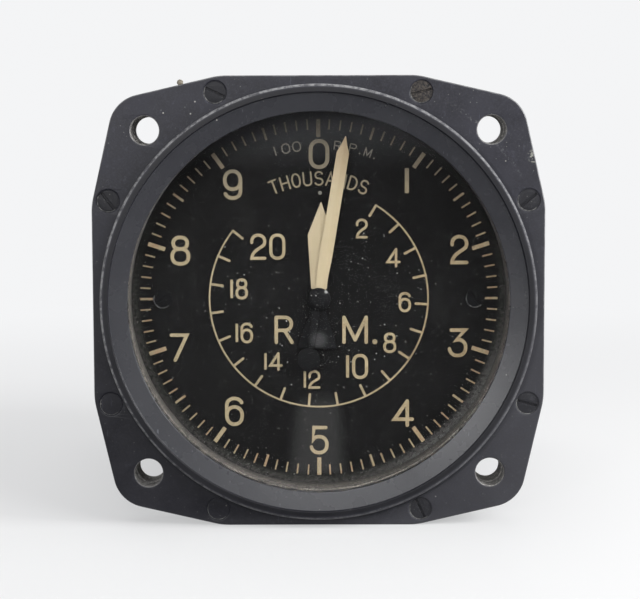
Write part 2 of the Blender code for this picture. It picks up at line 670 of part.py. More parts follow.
def dial_marks():
    """Raised strokes of the outer scale, and the inner scale's line with its strokes."""
    marks = []
    for i in range(0, SCALE_DIVISIONS, 5):
        major = i % 10 == 0
        length = MAJOR_LENGTH if major else HALF_LENGTH
        half = (MAJOR_WIDTH if major else HALF_WIDTH) / 2
        stroke = [(-half, SCALE_RADIUS - length), (half, SCALE_RADIUS - length),
                  (half, SCALE_RADIUS), (-half, SCALE_RADIUS)]
        marks.append(turned_outline(stroke, 360 * i / SCALE_DIVISIONS))
    # each number of the inner scale is one turn of the long pointer
    step = 360 * PINION_TEETH / WHEEL_TEETH * PINION_TEETH / LAY_WHEEL_TEETH
    outer, inner = ARC_RADIUS, ARC_RADIUS - ARC_WIDTH
    edge, comb = [], []
    for i in range(ARC_FIRST_NUMBER, ARC_LAST_NUMBER + 1):
        a = ARC_ZERO + i * step
        b = asin(ARC_MARK_WIDTH / 2 / inner) * 180 / pi
        c = asin(ARC_MARK_WIDTH / 2 / (inner - ARC_MARK_LENGTH)) * 180 / pi
        for r, t in ((inner, a - b), (inner - ARC_MARK_LENGTH, a - c),
                     (inner - ARC_MARK_LENGTH, a + c), (inner, a + b)):
            comb.append((r * sin(radians(t)), r * cos(radians(t))))
        for t in ((a - b,) if i == ARC_FIRST_NUMBER else (a - step / 2, a)):
            edge.append((outer * sin(radians(t)), outer * cos(radians(t))))
        if i == ARC_LAST_NUMBER:
            edge.append((outer * sin(radians(a + b)), outer * cos(radians(a + b))))
        else:
            t = a + step / 2
            comb.append((inner * sin(radians(t)), inner * cos(radians(t))))
    marks.append(edge + comb[::-1])
    return marks


def build_dial_screws():
    head_back = DIAL_DEPTH - SEAT
    head_front = head_back - DIAL_SCREW_HEIGHT
    for name, (x, z) in zip(("dial_screw_left", "dial_screw_right"), DIAL_SCREW_PLACES):
        turned(name, "blackened_steel",
               [(0, head_front), (DIAL_SCREW_HEAD * 0.7, head_front),
                (DIAL_SCREW_HEAD, (head_front + head_back) / 2), (DIAL_SCREW_HEAD, head_back),
                (DIAL_SCREW_SHANK, head_back), (DIAL_SCREW_SHANK, PLATE_BACK - SEAT),
                (0, PLATE_BACK - SEAT)],
               SCREW_SEGMENTS, x, z)


# Pointers and what carries them

def long_pointer_outline():
    half, neck = LONG_WIDTH / 2, LONG_NECK / 2
    right = [(0.0, LONG_TIP), (half, LONG_SHOULDER)]
    a, b = asin(half / HUB_RADIUS), asin(neck / HUB_RADIUS)
    right += [(HUB_RADIUS * sin(a + (pi - b - a) * i / 6), HUB_RADIUS * cos(a + (pi - b - a) * i / 6))
              for i in range(7)]
    c = asin(neck / LONG_WEIGHT_RADIUS)
    right += [(LONG_WEIGHT_RADIUS * sin(c + (pi - c) * i / 8),
               LONG_WEIGHT_RADIUS * cos(c + (pi - c) * i / 8) - LONG_WEIGHT_PLACE) for i in range(9)]
    left = [(-x, z) for x, z in right[1:-1]]
    return right + left[::-1]


def short_pointer_outline():
    """Lozenge in front, fan shaped tail behind, both from the hub's disc."""
    hub = SHORT_NECK / 2 + PIPE_RADIUS
    half, root, neck = SHORT_WIDEST / 2, SHORT_ROOT_WIDTH / 2, SHORT_NECK / 2
    right = [(0.0, SHORT_TIP), (half, SHORT_WIDEST_PLACE)]
    a, b = asin(root / hub), asin(neck / hub)
    right += [(hub * sin(a + (pi - b - a) * i / 6), hub * cos(a + (pi - b - a) * i / 6)) for i in range(7)]
    spread_angle = asin(SHORT_TAIL_WIDTH / 2 / SHORT_TAIL)
    right += [(SHORT_TAIL * sin(spread_angle * (1 - i / 4)), -SHORT_TAIL * cos(spread_angle * (1 - i / 4)))
              for i in range(5)]
    left = [(-x, z) for x, z in right[1:-1]]
    return right + left[::-1]


def build_pointers():
    outline = turned_outline(long_pointer_outline(), POINTER_REST_LONG)
    skin = Skin()
    front, back = skin.ring(outline, LONG_FRONT), skin.ring(outline, LONG_BACK)
    skin.wall(front, back)
    cap = HUB_RADIUS - HUB_STEP
    dome = [skin.ring(circle(cap * cos(a), SHAFT_SEGMENTS), LONG_FRONT - HUB_HEIGHT * sin(a))
            for a in (0.0, radians(35), radians(65))]
    skin.walls(dome)
    skin.face(dome[-1])
    skin.face(front, dome[0])
    bore = circle(ARBOR_RADIUS + PRESS, SHAFT_SEGMENTS)
    mouth, floor = skin.ring(bore, LONG_BACK), skin.ring(bore, LONG_FRONT - HUB_HEIGHT / 2)
    skin.wall(mouth, floor)
    skin.face(floor)
    skin.face(back, mouth)
    skin.done("long_pointer", "pointer_paint")

    outline = turned_outline(short_pointer_outline(), POINTER_REST_SHORT)
    skin = Skin()
    front, back = skin.ring(outline, SHORT_FRONT), skin.ring(outline, SHORT_BACK)
    skin.wall(front, back)
    bore = circle(PIPE_RADIUS + PRESS, SHAFT_SEGMENTS)
    mouth, end = skin.ring(bore, SHORT_FRONT), skin.ring(bore, SHORT_BACK)
    skin.wall(mouth, end)
    skin.face(front, mouth)
    skin.face(back, end)
    skin.done("short_pointer", "pointer_paint")


def pinion_span(depth):
    return depth - PINION_EXTRA, depth + WHEEL_THICKNESS + PINION_EXTRA


def build_gear_train():
    arbor = circle(ARBOR_RADIUS, SHAFT_SEGMENTS)
    start, end = pinion_span(LAY_WHEEL)
    staged("centre_arbor", "polished_steel",
           [(arbor, LONG_FRONT - HUB_HEIGHT / 2 + SEAT, start),
            (gear(PINION_TEETH, LAY_MODULE, towards=0.0, gap=True), start, end),
            (arbor, end, (BRIDGE_FRONT + BRIDGE_BACK - SEAT) / 2)])

    staged("pointer_pipe", "gear_brass",
           [(circle(PIPE_RADIUS, SHAFT_SEGMENTS), PIPE_FRONT, PIPE_WHEEL),
            (gear(WHEEL_TEETH, WHEEL_MODULE, towards=0.0), PIPE_WHEEL, PIPE_WHEEL + WHEEL_THICKNESS),
            (circle(PIPE_RADIUS, SHAFT_SEGMENTS), PIPE_WHEEL + WHEEL_THICKNESS,
             PIPE_WHEEL + WHEEL_THICKNESS + PINION_EXTRA)], bore=PIPE_BORE)

    x, z = LAY
    shaft = circle(PINION_ARBOR, SHAFT_SEGMENTS, x, z)
    pivot = circle(ARBOR_RADIUS, SHAFT_SEGMENTS, x, z)
    pinion = gear(PINION_TEETH, WHEEL_MODULE, x, z, pi, gap=True)
    front, rear = pinion_span(PIPE_WHEEL), pinion_span(SPINDLE_WHEEL)
    staged("layshaft", "gear_brass",
           [(pivot, PLATE_FRONT + SEAT, PLATE_BACK + SEAT),
            (shaft, PLATE_BACK + SEAT, front[0]), (pinion, *front), (shaft, front[1], LAY_WHEEL),
            (gear(LAY_WHEEL_TEETH, LAY_MODULE, x, z, pi), LAY_WHEEL, LAY_WHEEL + WHEEL_THICKNESS),
            (shaft, LAY_WHEEL + WHEEL_THICKNESS, rear[0]), (pinion, *rear),
            (shaft, rear[1], SPINDLE_PLATE - SEAT),
            (pivot, SPINDLE_PLATE - SEAT, SPINDLE_PLATE_BACK - SEAT)], x=x, z=z)

    staged("drag_spindle", "polished_steel",
           [(arbor, (BRIDGE_FRONT + BRIDGE_BACK + SEAT) / 2, SPRING_FRONT - SEAT),
            (circle(COLLET_RADIUS, SHAFT_SEGMENTS), SPRING_FRONT - SEAT, SPRING_BACK + SEAT),
            (arbor, SPRING_BACK + SEAT, CUP_HUB_BACK)])
    staged("spindle_wheel", "gear_brass",
           [(gear(WHEEL_TEETH, WHEEL_MODULE, towards=0.0), SPINDLE_WHEEL, SPINDLE_WHEEL + WHEEL_THICKNESS),
            (circle(COLLET_RADIUS, SHAFT_SEGMENTS), SPINDLE_WHEEL + WHEEL_THICKNESS,
             SPINDLE_WHEEL + WHEEL_THICKNESS + BUSH_COLLAR)], bore=ARBOR_RADIUS + PRESS)


# Frame of the movement

def plate(name, material_name, outline, holes, front_depth, back_depth):
    skin = Skin()
    front, back = skin.ring(outline, front_depth), skin.ring(outline, back_depth)
    skin.wall(front, back)
    pairs = [(skin.ring(hole, front_depth), skin.ring(hole, back_depth)) for hole in holes]
    for a, b in pairs:
        skin.wall(a, b)
    skin.face(front, *[a for a, _ in pairs])
    skin.face(back, *[b for _, b in pairs])
    return skin.done(name, material_name)


def post(name, material_name, x, z, start, end):
    """A pillar between two plates, with a spigot through each."""
    reach = PLATE_THICKNESS
    turned(name, material_name,
           [(0, start - reach), (SPIGOT_RADIUS, start - reach), (SPIGOT_RADIUS, start),
            (PILLAR_RADIUS, start), (PILLAR_RADIUS, end), (SPIGOT_RADIUS, end),
            (SPIGOT_RADIUS, end + reach), (0, end + reach)], SCREW_SEGMENTS, x, z)


def build_frame():
    def holes(places, radius):
        return [circle(radius, SCREW_SEGMENTS, x, z) for x, z in places]

    plate("front_plate", "frame_brass", circle(PLATE_RADIUS, DRUM_SEGMENTS),
          [circle(BUSH_RADIUS + SEAT, HOLE_SEGMENTS)] + holes([LAY], PIVOT_HOLE)
          + holes(PILLAR_PLACES + BRIDGE_POSTS, SPIGOT_HOLE)
          + holes(DIAL_SCREW_PLACES, DIAL_SCREW_SHANK + RUN), PLATE_FRONT, PLATE_BACK)
    turned("pipe_bush", "gear_brass",
           [(BUSH_BORE, PLATE_FRONT), (BUSH_RADIUS, PLATE_FRONT), (BUSH_RADIUS, BUSH_BACK - BUSH_COLLAR),
            (BUSH_RADIUS + BUSH_COLLAR_WIDTH, BUSH_BACK - BUSH_COLLAR),
            (BUSH_RADIUS + BUSH_COLLAR_WIDTH, BUSH_BACK), (BUSH_BORE, BUSH_BACK)], HOLE_SEGMENTS)

    plate("gear_bridge", "frame_brass", hull_of_discs(BRIDGE_POSTS, BRIDGE_ARM, 6),
          [circle(BRIDGE_BUSH_RADIUS + SEAT, HOLE_SEGMENTS)] + holes([LAY], PIVOT_HOLE)
          + holes(BRIDGE_POSTS, SPIGOT_HOLE), BRIDGE_FRONT, BRIDGE_BACK)
    collar_front = BRIDGE_FRONT - SEAT - BUSH_COLLAR
    turned("bridge_bush", "gear_brass",
           [(BRIDGE_BUSH_BORE, collar_front), (BRIDGE_BUSH_RADIUS + BUSH_COLLAR_WIDTH, collar_front),
            (BRIDGE_BUSH_RADIUS + BUSH_COLLAR_WIDTH, BRIDGE_FRONT - SEAT),
            (BRIDGE_BUSH_RADIUS, BRIDGE_FRONT - SEAT), (BRIDGE_BUSH_RADIUS, BRIDGE_BACK),
            (BRIDGE_BUSH_BORE, BRIDGE_BACK)], HOLE_SEGMENTS)
    for number, (x, z) in enumerate(BRIDGE_POSTS, 1):
        post(f"bridge_post_{number}", "frame_brass", x, z, PLATE_BACK + SEAT, BRIDGE_FRONT - SEAT)

    plate("spindle_plate", "frame_brass", circle(PLATE_RADIUS - DRUM_WALL + SEAT, DRUM_SEGMENTS),
          holes([(0.0, 0.0)], ARBOR_RADIUS + RUN) + holes([LAY], PIVOT_HOLE)
          + holes(PILLAR_PLACES + ROD_PLACES, SPIGOT_HOLE)
          + holes([stud_place()], STUD_RADIUS + SEAT), SPINDLE_PLATE, SPINDLE_PLATE_BACK)
    for number, (x, z) in enumerate(PILLAR_PLACES, 1):
        post(f"frame_pillar_{number}", "frame_brass", x, z, PLATE_BACK + SEAT, SPINDLE_PLATE - SEAT)


def stud_place():
    place = SPRING_RADIUS + SPRING_THICKNESS / 2 + SEAT + STUD_RADIUS
    return (-place, 0.0)


def build_hairspring():
    """A flat spiral from the spindle's collet out to its stud."""
    steps = int(SPRING_TURNS * SPRING_STEPS)
    start = COLLET_RADIUS + SEAT + SPRING_THICKNESS / 2
    middle = []
    for i in range(steps + 1):
        share = i / steps
        a = pi - SPRING_TURNS * 2 * pi * (1 - share)
        r = start + (SPRING_RADIUS - start) * share
        middle.append((r, a))
    skin = Skin()
    sections = []
    for r, a in middle:
        inner, outer = r - SPRING_THICKNESS / 2, r + SPRING_THICKNESS / 2
        front = skin.ring([(inner * cos(a), inner * sin(a)), (outer * cos(a), outer * sin(a))], SPRING_FRONT)
        back = skin.ring([(outer * cos(a), outer * sin(a)), (inner * cos(a), inner * sin(a))], SPRING_BACK)
        sections.append(front + back)
    skin.walls(sections)
    skin.face(sections[0])
    skin.face(sections[-1])
    skin.done("hairspring", "spring_bronze")
    x, z = stud_place()
    turned("hairspring_stud", "frame_brass",
           [(0, SPRING_FRONT - SEAT), (STUD_RADIUS, SPRING_FRONT - SEAT), (STUD_RADIUS, SPINDLE_PLATE_BACK),
            (0, SPINDLE_PLATE_BACK)], SCREW_SEGMENTS, x, z)


# Drag element and motor

def build_drag_element():
    bore = ARBOR_RADIUS + PRESS
    turned("drag_cup", "cup_copper",
           [(bore, CUP_FRONT), (CUP_RADIUS, CUP_FRONT), (CUP_RADIUS, CUP_BACK),
            (CUP_RADIUS - CUP_WALL, CUP_BACK), (CUP_RADIUS - CUP_WALL, CUP_INSIDE),
            (CUP_HUB_RADIUS, CUP_INSIDE), (CUP_HUB_RADIUS, CUP_HUB_BACK), (bore, CUP_HUB_BACK)],
           MID_SEGMENTS)
    bore = SHAFT_RADIUS + PRESS
    turned("drag_magnet", "magnet_steel",
           [(bore, MAGNET_FRONT), (MAGNET_RADIUS, MAGNET_FRONT), (MAGNET_RADIUS, MAGNET_BACK),
            (bore, MAGNET_BACK)], MID_SEGMENTS)
    turned("flux_drum", "drum_iron",
           [(bore, FLUX_FLOOR), (FLUX_BORE, FLUX_FLOOR), (FLUX_BORE, FLUX_FRONT),
            (FLUX_BORE + FLUX_WALL, FLUX_FRONT), (FLUX_BORE + FLUX_WALL, FLUX_BACK), (bore, FLUX_BACK)],
           MID_SEGMENTS)


def shield(name, outer_depth, inner_depth, rim_depth, windows):
    """End shield: a disc with rod holes, a bearing seat and a rim that seats on the stator."""
    skin = Skin()
    disc = circle(SHIELD_RADIUS, DRUM_SEGMENTS)
    outer, inner = skin.ring(disc, outer_depth), skin.ring(disc, inner_depth)
    skin.wall(outer, inner)
    outer_holes, rim_holes, floor_holes = [], [], []
    for x, z in ROD_PLACES:
        hole = circle(ROD_RADIUS + SEAT, SCREW_SEGMENTS, x, z)
        pair = [skin.ring(hole, outer_depth), skin.ring(hole, inner_depth)]
        skin.walls(pair)
        outer_holes.append(pair[0])
        rim_holes.append(pair[1])
    for x, z in windows:
        hole = circle(WINDOW_RADIUS, SCREW_SEGMENTS, x, z)
        pair = [skin.ring(hole, outer_depth), skin.ring(hole, inner_depth)]
        skin.walls(pair)
        outer_holes.append(pair[0])
        floor_holes.append(pair[1])
    seat = circle(BEARING_RADIUS + SEAT, HOLE_SEGMENTS)
    pair = [skin.ring(seat, outer_depth), skin.ring(seat, inner_depth)]
    skin.walls(pair)
    outer_holes.append(pair[0])
    floor_holes.append(pair[1])
    rims = [skin.ring(circle(r, DRUM_SEGMENTS), d) for r, d in
            ((STATOR_RADIUS, inner_depth), (STATOR_RADIUS, rim_depth),
             (STATOR_RADIUS - SHIELD_RIM, rim_depth), (STATOR_RADIUS - SHIELD_RIM, inner_depth))]
    skin.walls(rims)
    skin.face(outer, *outer_holes)
    skin.face(inner, rims[0], *rim_holes)
    skin.face(rims[-1], *floor_holes)
    skin.done(name, "shield_aluminium")


def stator_outline():
    """Bore of the stator core, with slots between its teeth."""
    points = []
    step = 2 * pi / SLOTS
    mouth = SLOT_SHARE / 4
    for i in range(SLOTS):
        a = i * step
        for r, share in ((STATOR_BORE, -mouth), (SLOT_RADIUS, -SLOT_SHARE / 2), (SLOT_RADIUS, SLOT_SHARE / 2),
                         (STATOR_BORE, mouth)):
            points.append((r * cos(a + share * step), r * sin(a + share * step)))
    return points


def build_motor():
    shield("motor_front_shield", SHIELD_FRONT, SHIELD_BACK, STATOR_FRONT - SEAT, [])
    shield("motor_rear_shield", REAR_SHIELD_BACK, REAR_SHIELD, STATOR_BACK + SEAT, WINDOW_PLACES)
    plate("stator_core", "core_iron", circle(STATOR_RADIUS, DRUM_SEGMENTS), [stator_outline()],
          STATOR_FRONT, STATOR_BACK)
    for name, depth in (("winding_front", WINDING_FRONT), ("winding_rear", REAR_WINDING)):
        end = depth + WINDING_LENGTH
        bevel = WINDING_LENGTH / 4
        turned(name, "winding_enamel",
               [(WINDING_IN, depth + bevel), (WINDING_IN + bevel, depth),
                (WINDING_OUT - bevel, depth), (WINDING_OUT, depth + bevel),
                (WINDING_OUT, end - bevel), (WINDING_OUT - bevel, end),
                (WINDING_IN + bevel, end), (WINDING_IN, end - bevel)], MID_SEGMENTS)
    turned("rotor_shaft", "polished_steel",
           [(0, MAGNET_FRONT + SEAT), (SHAFT_RADIUS, MAGNET_FRONT + SEAT), (SHAFT_RADIUS, ROD_BACK),
            (0, ROD_BACK)], SHAFT_SEGMENTS)
    bore = SHAFT_RADIUS + PRESS
    turned("motor_rotor", "core_iron",
           [(bore, STATOR_FRONT), (ROTOR_RADIUS, STATOR_FRONT), (ROTOR_RADIUS, STATOR_BACK),
            (bore, STATOR_BACK)], MID_SEGMENTS)
    for name, start in (("front_bearing", SHIELD_BACK - BEARING_WIDTH + BEARING_BOSS / 2),
                        ("rear_bearing", REAR_SHIELD - BEARING_BOSS / 2)):
        turned(name, "polished_steel",
               [(SHAFT_RADIUS + RUN, start), (BEARING_RADIUS, start), (BEARING_RADIUS, start + BEARING_WIDTH),
                (SHAFT_RADIUS + RUN, start + BEARING_WIDTH)], HOLE_SEGMENTS)
    for number, (x, z) in enumerate(ROD_PLACES, 1):
        turned(f"motor_rod_{number}", "polished_steel",
               [(0, SPINDLE_PLATE), (SPIGOT_RADIUS, SPINDLE_PLATE),
                (SPIGOT_RADIUS, SPINDLE_PLATE_BACK + SEAT),
                (PILLAR_RADIUS, SPINDLE_PLATE_BACK + SEAT), (PILLAR_RADIUS, SHIELD_FRONT - SEAT),
                (ROD_RADIUS, SHIELD_FRONT - SEAT), (ROD_RADIUS, ROD_BACK - ROD_NUT_LENGTH),
                (ROD_NUT_RADIUS, ROD_BACK - ROD_NUT_LENGTH), (ROD_NUT_RADIUS, ROD_BACK), (0, ROD_BACK)],
               SCREW_SEGMENTS, x, z)


# Connector on the back

def build_connector():
    skin = Skin()
    outline = rounded_square(CONNECTOR_FLANGE, CONNECTOR_CORNER)
    front, back = skin.ring(outline, CONNECTOR_SEAT), skin.ring(outline, CONNECTOR_FLANGE_BACK)
    skin.wall(front, back)
    inside = INSULATOR_RADIUS + SEAT
    spigot = inside + CONNECTOR_WALL / 2
    profile = [(spigot, CONNECTOR_SEAT), (spigot, INSIDE_BACK), (inside, INSIDE_BACK),
               (inside, INSULATOR_BACK), (CONNECTOR_RADIUS - CONNECTOR_WALL, INSULATOR_BACK),
               (CONNECTOR_RADIUS - CONNECTOR_WALL, CONNECTOR_BACK), (CONNECTOR_RADIUS, CONNECTOR_BACK),
               (CONNECTOR_RADIUS, CONNECTOR_FLANGE_BACK)]
    rings = [skin.ring(circle(r, MID_SEGMENTS), d) for r, d in profile]
    skin.walls(rings)
    skin.face(front, rings[0])
    skin.face(back, rings[-1])
    skin.done("connector_shell", "connector_metal")
    plate("connector_insulator", "insulator_plastic", circle(INSULATOR_RADIUS, MID_SEGMENTS),
          [circle(PIN_RADIUS + SEAT, SCREW_SEGMENTS, x, z) for x, z in PIN_PLACES],
          INSIDE_BACK, INSULATOR_BACK)
    for number, (x, z) in enumerate(PIN_PLACES, 1):
        start, end = INSIDE_BACK - PIN_LENGTH_IN, INSULATOR_BACK + PIN_LENGTH_OUT
        turned(f"connector_pin_{number}", "pin_gold",
               [(0, start), (PIN_RADIUS, start), (PIN_RADIUS, end - PIN_RADIUS),
                (PIN_RADIUS / 2, end), (0, end)], SCREW_SEGMENTS, x, z)


def build_leads():
    """Each lead leaves the rear winding, passes a window of the shield and ends at a pin."""
    start = REAR_WINDING + WINDING_LENGTH + SEAT
    end = INSIDE_BACK - PIN_LENGTH_IN - SEAT
    bend = REAR_SHIELD_BACK + WINDOW_RADIUS
    path = [(WINDOW_PLACE, start), (WINDOW_PLACE, bend)]
    steps = 4
    for i in range(1, steps + 1):
        a = i / steps
        smooth = a * a * (3 - 2 * a)
        path.append((WINDOW_PLACE + (PIN_PLACE - WINDOW_PLACE) * smooth,
                     bend + (end - 2 * LEAD_RADIUS - bend) * a))
    path.append((PIN_PLACE, end))
    for number, place in enumerate(WINDOW_PLACES, 1):
        a = atan2(place[1], place[0])
        skin = Skin()
        sections = []
        for i, (r, d) in enumerate(path):
            before, after = path[max(i - 1, 0)], path[min(i + 1, len(path) - 1)]
            lean = atan2(after[0] - before[0], after[1] - before[1])
            ring = []
            for k in range(8):
                b = 2 * pi * k / 8
                across, along = LEAD_RADIUS * cos(b), LEAD_RADIUS * sin(b)
                out, depth = r + across * cos(lean), d - across * sin(lean)
                x, z = out * cos(a) - along * sin(a), out * sin(a) + along * cos(a)
                ring += skin.ring([(x, z)], depth)
            sections.append(ring)
        skin.walls(sections)
        skin.face(sections[0])
        skin.face(sections[-1])
        skin.done(f"stator_lead_{number}", "lead_sleeve")


clear_scene()
build_bezel()
build_bezel_screws()
build_case()
build_window()
build_dial()
build_dial_screws()
build_pointers()
build_gear_train()
build_frame()
build_hairspring()
build_drag_element()
build_motor()
build_connector()
build_leads()
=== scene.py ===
"""Looks of the aircraft tachometer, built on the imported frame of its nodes.

Sizes are in millimetres. X is to the right, Z is up, and a depth is counted
along +Y from the front face of the flange, as in the part's own source.
"""
import json
from math import atan2, cos, degrees, hypot, pi, radians, sin, tan
from random import Random

import bmesh
import bpy
from mathutils import Matrix, Vector
from mathutils.geometry import tessellate_polygon


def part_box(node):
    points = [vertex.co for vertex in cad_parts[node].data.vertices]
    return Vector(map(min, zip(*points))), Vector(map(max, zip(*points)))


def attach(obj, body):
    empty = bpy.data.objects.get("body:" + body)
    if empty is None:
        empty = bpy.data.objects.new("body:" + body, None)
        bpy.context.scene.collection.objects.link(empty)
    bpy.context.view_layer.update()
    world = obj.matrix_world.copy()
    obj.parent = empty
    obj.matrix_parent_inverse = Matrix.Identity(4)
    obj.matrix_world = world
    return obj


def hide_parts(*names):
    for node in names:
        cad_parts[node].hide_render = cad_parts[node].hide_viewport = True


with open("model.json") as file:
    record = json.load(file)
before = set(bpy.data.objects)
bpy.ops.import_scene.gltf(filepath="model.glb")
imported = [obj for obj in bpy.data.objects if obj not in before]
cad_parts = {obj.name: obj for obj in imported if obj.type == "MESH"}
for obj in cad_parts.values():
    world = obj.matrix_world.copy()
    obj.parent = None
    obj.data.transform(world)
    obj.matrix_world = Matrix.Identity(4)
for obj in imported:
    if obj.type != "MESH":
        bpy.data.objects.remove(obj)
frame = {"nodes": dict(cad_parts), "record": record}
MM = 0.001
NODES = frame["nodes"]
MOUNTS = {m["name"]: m["pos_m"] for m in frame["record"]["mounts"]}
FRONT = MOUNTS["panel_seat"][1] / MM      # where depth 0 lies along Y
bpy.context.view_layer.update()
HOUSING = "instrument"

# Camera, solved from the photograph's circles and corners
CAMERA_AIM = (0.245, 0.0, 0.597)          # a point, as x, depth, z
CAMERA_DISTANCE = 323.33
CAMERA_AZIMUTH = 0.137                    # degrees
CAMERA_ELEVATION = 5.474
CAMERA_ROLL = -0.175
SENSOR_WIDTH = 36.0
FOCAL_PIXELS = 1770.3
PHOTO_WIDTH = 640

# Flange
FLANGE_HALF = 41.275
FLANGE_CUT = 23.3         # from a side to where the next side's straight middle ends
FLANGE_SLOPE = 13.0       # degrees that a side falls away towards the corner
CORNER_RADIUS, CORNER_STEPS = 6.5, 12
BLEND_RADIUS, BLEND_STEPS = 12.0, 5
HOLE_PLACE = 31.435
HOLE_RADIUS = 2.6
BACK_HOLE_RADIUS = 2.45
PLATE_EDGE = 0.30         # rounding of the two flanges' edges
PLATE_BORE = 38.6         # the front flange's opening, hidden in the rim
BEZEL_BACK = 3.9
CASE_FRONT, CASE_FLANGE_BACK = 4.0, 9.5

# Rim, from the outside in
RIM_ROOT = 40.15          # the turned rim inside the flange
RIM_RADIUS, RIM_TOP = 39.7, -3.02
RIM_FOOT = 38.9
ARRIS = 0.55              # rounding of the rim's outer edge
STEP_RADIUS = 38.25
BAND_OUTER, BAND_TOP = 38.1, -2.5
LIP_RADIUS, LIP_TOP, LIP_BACK = 34.8, -1.75, -0.7
BEZEL_BORE = 37.3
SEAT_RADIUS = 37.0        # outside of the glass, the gasket and the spacer
GLASS_FRONT, GLASS_BACK = -0.4, 1.6
GASKET_BORE, GASKET_FRONT, GASKET_BACK = 35.3, 1.9, 3.1
SPACER_BORE, SPACER_FRONT, SPACER_BACK = 35.05, 3.4, 8.5
TURN_STEPS = 180

# Case drum, with its shallow groove and its chamfered back: radius, depth, rounding
DRUM = [
    (39.3, 9.3, 0.0), (38.5, 9.5, 0.7), (38.5, 92.6, 0.15), (38.15, 92.9, 0.15), (38.15, 93.5, 0.15),
    (38.5, 93.8, 0.15), (38.5, 96.7, 0.5), (37.0, 98.2, 0.5), (5.0, 98.2, 0.0), (5.0, 95.7, 0.0),
    (36.0, 95.7, 0.0), (36.0, 12.6, 0.0), (37.3, 12.6, 0.0), (37.3, 4.4, 0.0), (39.0, 4.4, 0.0),
]

# Bezel screws
SCREW_PLACE = 42.55
SCREW_HEAD = 1.95
SCREW_SEAT = 2.02
SCREW_FACE = 0.12
SCREW_BACK = 1.2
SCREW_SLOT = 0.42
SCREW_SLOT_DEPTH = 0.35
SHANK_RADIUS, SHANK_END = 0.9, 7.0

# Each bezel screw: degrees clockwise from the top, turn of its slot anticlockwise, state
SCREW_STATES = [
    (26.0, 15.0, "rusty"), (64.0, 40.0, "plain"), (116.0, -15.0, "plain"), (154.0, -65.0, "plain"),
    (206.0, 20.0, "painted"), (244.0, -35.0, "painted"), (296.0, -52.0, "plain"), (334.0, -25.0, "plain"),
]

# Dial
DIAL_FACE, DIAL_BACK = 8.8, 9.8
DIAL_RADIUS = 36.9
DIAL_BORE = 2.0
INK, THIN_INK = 0.09, 0.04                # height of the paint that the marks are filled with
SCALE_RADIUS = 33.45
MAJOR, HALF, MINOR = (3.3, 0.76), (2.35, 0.42), (1.9, 0.28)
ARC_RADIUS, ARC_WIDTH, ARC_PIECES = 20.45, 0.3, 120
ARC_MARK_LENGTH, ARC_MARK_WIDTH = 2.5, 0.45
ARC_FIRST, ARC_LAST, ARC_STEPS = 31.62, 308.54, 18
DIAL_SCREW_PLACE = 29.2
DIAL_SCREW_HEAD = 1.7

# Numerals: text, middle in mm from the dial's centre, height, width of one figure, stroke
OUTER_NUMERALS = [
    ("0", 0.12, 26.97, 5.55, 3.85, 0.72), ("1", 16.45, 21.99, 5.36, 0.76, 0.76),
    ("2", 26.27, 9.12, 5.5, 3.35, 0.65), ("3", 26.13, -8.42, 5.45, 3.45, 0.64),
    ("4", 15.86, -21.73, 5.25, 4.0, 0.65), ("5", 0.05, -26.83, 5.45, 3.45, 0.65),
    ("6", -15.94, -21.3, 5.55, 3.55, 0.65), ("7", -26.23, -9.18, 5.35, 3.55, 0.64),
    ("8", -25.84, 9.06, 5.6, 3.7, 0.66), ("9", -15.97, 21.33, 5.65, 3.58, 0.66),
]
INNER_NUMERALS = [
    ("2", 8.06, 13.10, 3.7, 2.2, 0.45), ("4", 13.97, 7.62, 3.65, 2.65, 0.45),
    ("6", 16.11, -0.72, 3.8, 2.35, 0.48), ("8", 13.29, -8.38, 3.85, 2.45, 0.49),
    ("10", 7.15, -12.84, 4.75, 3.0, 0.58), ("12", -1.33, -15.29, 3.5, 2.25, 0.45),
    ("14", -8.55, -11.85, 3.5, 2.55, 0.45), ("16", -13.99, -6.45, 3.9, 2.35, 0.48),
    ("18", -14.90, 1.85, 3.95, 2.35, 0.50), ("20", -9.49, 9.75, 4.9, 3.0, 0.57),
]
BIG_LETTERS = [("R", -6.52, -5.88, 5.35, 3.6, 0.64), ("P", 0.1, -5.9, 5.35, 3.5, 0.64),
               ("M", 6.79, -5.91, 5.35, 4.8, 0.64)]

# Dots: x, z, radius
FULL_STOP = (10.48, -8.17, 0.47)
ZERO_SPOT = (0.28, 19.77, 0.36)

# Words on arcs: text, radius, first and last letter in degrees, height, width, stroke
THOUSANDS = ("THOUSANDS", 22.45, -21.6, 22.0, 2.7, 1.72, 0.31)
HUNDRED = ("100", 28.65, -16.3, -8.1, 1.95, 1.65, 0.24)
PER_MINUTE = ("R.P.M.", 28.75, 7.2, 21.57, 1.7, 1.4, 0.21)

# Pointers. A side runs up one edge of the blade, a ridge along its middle
LONG_ANGLE, SHORT_ANGLE = 9.5, 1.50       # degrees clockwise from the top
LONG_FACE, LONG_BACK = 6.9, 7.3
LONG_SIDE = [(0.97, 1.9), (1.2, 8.5), (1.15, 27.6), (0.55, 29.125), (0.08, 30.65)]
LONG_RIDGE = [(0, 1.9), (0, 27.6), (0, 30.25)]
LONG_TAIL = [(-0.8, -1.4), (-0.55, -9.8), (0.55, -9.8), (0.8, -1.4)]
WEIGHT_PLACE, WEIGHT_RADIUS = -11.5, 2.2
SHORT_FACE, SHORT_BACK = 7.7, 8.1
SHORT_SIDE = [(1.45, 1.9), (2.35, 11.9), (0.07, 18.05)]
SHORT_RIDGE = [(0, 1.9), (0, 11.9), (0, 17.55)]
SHORT_TAIL = [(-1.05, -1.4), (-3.8, -9.25), (-3.3, -9.4), (3.3, -9.4), (3.8, -9.25), (1.05, -1.4)]
HUB_TOP = 6.1
HUB_RADIUS = 2.18

